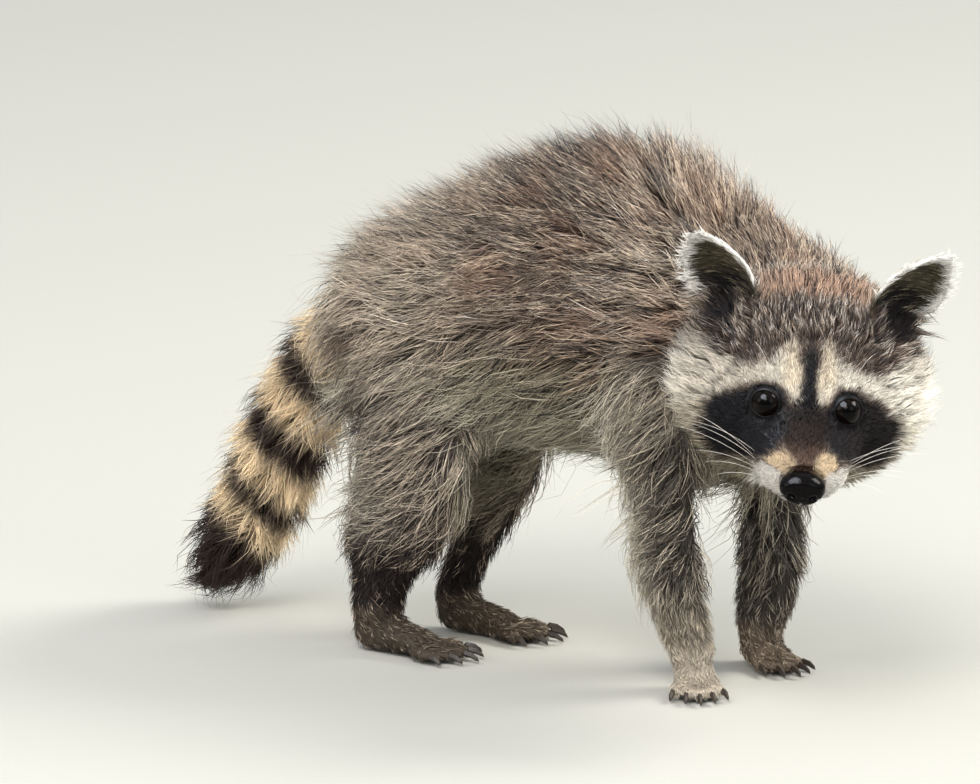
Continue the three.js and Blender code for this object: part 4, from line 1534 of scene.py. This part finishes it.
def eyeGloss():  # wet cornea over a dark brown iris: black to the eye, with one sharp highlight
    material, tree = newMaterial("wetCornea")
    out = addNode(tree, "Attribute", attribute_name="out")
    place = addNode(tree, "TexCoord")
    fibres = addNode(tree, "TexNoise", {"Scale": 1000 / eyeMake["fibre"], "Detail": 3.0},
                     {"Vector": place.outputs["Object"]})
    edges = []
    for reached, inside, outside in (("pupilReach", 3, 3), ("irisReach", 6, 3)):
        around = {"From Min": eyeMake[reached] - inside, "From Max": eyeMake[reached] + outside}
        edges.append(addNode(tree, "MapRange", around, {"Value": out.outputs["Fac"]}).outputs[0])
    pupil, iris, rim = (toLinear(eyeMake[name]) for name in ("pupil", "iris", "rim"))
    brown = addNode(tree, "MixRGB", {"Color1": iris, "Color2": rim}, {"Fac": fibres.outputs["Fac"]})
    inner = addNode(tree, "MixRGB", {"Color1": pupil}, {"Fac": edges[0], "Color2": brown.outputs[0]})
    colour = addNode(tree, "MixRGB", {"Color2": rim}, {"Fac": edges[1], "Color1": inner.outputs[0]})
    shader = addNode(tree, "BsdfPrincipled", {"Roughness": 0.03, "IOR": 1.376, "Specular IOR Level": 0.13},
                     {"Base Color": colour.outputs[0]})
    finishMaterial(tree, shader)
    return material


def buildEyes():
    material = eyeGloss()
    for place, side, name in zip(eyePlaces(), (-1, 1), ("right", "left")):
        verts, faces = ballGrid(*eyeMake["grid"])
        out = np.degrees(np.arccos(np.clip(verts[:, 0], -1, 1)))
        size = animal["eyeRadius"] + eyeMake["cornea"] * ease(52, 10, out)
        look = unit(np.array(eyeMake["gaze"]) * (1, side, 1))
        own = place + aimed(verts, look) * size[:, None]
        piece = smoothMesh("eyeball_" + name, toFrame(fromHead(own)), faces, material)
        addAttribute(piece.data, "out", "FLOAT", out)
        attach(piece, "root")
        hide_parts("eye_" + name)


noseMake = {
    "centre": (37.6, 0.0, -15.9),
    "half": (6.9, 9.4, 6.8),
    "clear": (1.25, 0.68, 1.0),  # the room that hair leaves it, as a stretched ball
    "grid": (90, 120),
    "colours": ("#050405", "#0d0b0c"),
    "pebble": 0.7,  # mm
    "pebbleDepth": 0.15,
    "damp": 5.5,  # mm across a wet or drier patch
    "nostril": (0.74, 0.46, -0.18),  # on a unit ball
    "slitStart": (0.74, 0.46, -0.20),  # the slit runs out from the nostril
    "slitEnd": (0.29, 0.88, -0.42),
    "groove": 0.045,  # width of the line under the nose, on the same ball
}


def noseLeather():  # bare wet rhinarium: black pebbled skin, glossy where it is wet
    material, tree = newMaterial("wetNoseSkin")
    place = addNode(tree, "TexCoord")
    pebbles = addNode(tree, "TexVoronoi", {"Scale": 1000 / noseMake["pebble"]},
                      {"Vector": place.outputs["Object"]}, feature="SMOOTH_F1")
    damp = addNode(tree, "TexNoise", {"Scale": 1000 / noseMake["damp"], "Detail": 2.0},
                   {"Vector": place.outputs["Object"]})
    gloss = addNode(tree, "MapRange", {"To Min": 0.10, "To Max": 0.20}, {"Value": damp.outputs["Fac"]})
    low, high = (toLinear(colour) for colour in noseMake["colours"])
    colour = addNode(tree, "MixRGB", {"Color1": low, "Color2": high}, {"Fac": pebbles.outputs["Distance"]})
    bump = addNode(tree, "Bump", {"Strength": 0.35, "Distance": noseMake["pebbleDepth"] / 1000},
                   {"Height": pebbles.outputs["Distance"]}, invert=True)
    shader = addNode(tree, "BsdfPrincipled", {"IOR": 1.38, "Specular IOR Level": 0.10},
                     {"Base Color": colour.outputs[0], "Roughness": gloss.outputs[0],
                      "Normal": bump.outputs["Normal"]})
    finishMaterial(tree, shader)
    return material


def buildNose():
    verts, faces = ballGrid(*noseMake["grid"])
    x, y, z = verts.T
    wide = 1 - 0.16 * ease(0.1, -1, z) - 0.10 * ease(0.3, 1.0, z)
    flat = 1 - 0.14 * ease(0.55, 1, x)
    own = np.stack([x * flat, np.sign(y) * abs(y) ** 0.92 * wide, np.sign(z) * abs(z) ** 0.9], 1)
    start, end = (np.array(noseMake[name]) for name in ("slitStart", "slitEnd"))
    depth = np.zeros(len(own))
    for side in (-1, 1):
        hole = unit(np.array(noseMake["nostril"]) * (1, side, 1))
        depth += 0.42 * np.exp(-(reach(verts, hole, (1, 1, 1.25)) / 0.20) ** 2)
        for t in np.linspace(0, 1, 6):
            spot = unit(mix(start, end, t) * (1, side, 1))
            depth += 0.07 * np.exp(-(reach(verts, spot, (1, 1, 1.6)) / 0.13) ** 2)
    depth += 0.12 * np.exp(-(y / noseMake["groove"]) ** 2) * ease(0.0, -0.35, z) * ease(0.1, 0.5, x)
    own *= (1 - depth)[:, None]
    own = own * noseMake["half"] + noseMake["centre"]
    piece = smoothMesh("nosePad", toFrame(fromHead(own)), faces, noseLeather())
    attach(piece, "root")
    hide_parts("nose")


clawMake = {
    "colours": ("#1d1815", "#4a4036"),
    "streak": 1.4,  # mm, coarser than life so that it shows
    "streakDepth": 0.1,
}


def clawHorn():  # horn, grown in layers: dark, satin, with fine streaks along it
    material, tree = newMaterial("clawHorn")
    place = addNode(tree, "TexCoord")
    grain = {"Scale": 1000 / clawMake["streak"], "Detail": 3.0, "Distortion": 0.6}
    streaks = addNode(tree, "TexNoise", grain, {"Vector": place.outputs["Object"]})
    low, high = (toLinear(colour) for colour in clawMake["colours"])
    colour = addNode(tree, "MixRGB", {"Color1": low, "Color2": high}, {"Fac": streaks.outputs["Fac"]})
    bump = addNode(tree, "Bump", {"Strength": 0.2, "Distance": clawMake["streakDepth"] / 1000},
                   {"Height": streaks.outputs["Fac"]})
    shader = addNode(tree, "BsdfPrincipled", {"Roughness": 0.52, "Specular IOR Level": 0.22},
                     {"Base Color": colour.outputs[0], "Normal": bump.outputs["Normal"]})
    finishMaterial(tree, shader)
    return material


def finishClaws():
    horn = clawHorn()
    for name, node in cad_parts.items():
        if name.startswith("claw"):
            node.material_slots[0].material = horn


whiskerMake = {
    "seed": 7,
    "roots": [(20, -16.5, -14.5), (23, -16.0, -16.5), (25, -15.0, -18.5), (22, -16.5, -18.5),
              (27, -13.5, -20.5), (24, -15.0, -21.0), (19, -17.0, -17.5)],
    "ends": [(14, -46, -4), (12, -49, -8), (16, -44, -16), (8, -52, -12), (22, -36, -26), (14, -42, -24),
             (4, -50, -6)],
    "browRoots": [(4, -13, 10.5), (2, -16, 11)],
    "browEnds": [(3, -17, 24), (-3, -25, 24)],
    "stray": (0.3, 1.6),  # mm at the root and at the end
    "droop": 3.0,
    "width": 0.24,
    "steps": 9,
    "colours": ("#cfc8bb", "#fbfaf6"),
}


def whiskerHair():  # stiff sensing hair: smooth, near-white keratin with a soft gloss
    material, tree = newMaterial("whiskerHair")
    along = addNode(tree, "Attribute", attribute_name="along")
    low, high = (toLinear(colour) for colour in whiskerMake["colours"])
    colour = addNode(tree, "MixRGB", {"Color1": low, "Color2": high}, {"Fac": along.outputs["Fac"]})
    shader = addNode(tree, "BsdfPrincipled", {"Roughness": 0.35}, {"Base Color": colour.outputs[0]})
    finishMaterial(tree, shader)
    return material


def buildWhiskers():
    draw = np.random.default_rng(whiskerMake["seed"])
    roots, ends = [], []
    for side in (1, -1):
        for start, stop in (("roots", "ends"), ("browRoots", "browEnds")):
            for a, b in zip(whiskerMake[start], whiskerMake[stop]):
                for made, place, stray in zip((roots, ends), (a, b), whiskerMake["stray"]):
                    made.append(np.array(place, float) * (1, side, 1) + draw.normal(0, stray, 3))
    count = len(roots)
    t = np.linspace(0, 1, whiskerMake["steps"] + 1)[None, :, None]
    path = np.array(roots)[:, None] * (1 - t) + np.array(ends)[:, None] * t
    path[..., 2] += (whiskerMake["droop"] * 4 * t * (1 - t))[..., 0]
    path = fromHead(path.reshape(-1, 3)).reshape(path.shape)
    normal = np.tile([0.0, 0.0, 1.0], (count, 1))
    chart = np.stack([np.linspace(0, 1, count), np.arange(count) % 2], 1)
    width = np.full(count, whiskerMake["width"])
    plain = np.zeros((count, 4))
    piece, _ = tuftPiece("whiskers", path, normal, width, chart, (plain, plain), plain, whiskerHair())
    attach(piece, "root")


paintSkin(skin, hide, furSkin())
buildCoat(hide, guardHair())
print("coat made, seconds", round(time.time() - startTime, 1))
buildEyes()
buildNose()
finishClaws()
buildWhiskers()
print("eyes, nose, claws and whiskers made")
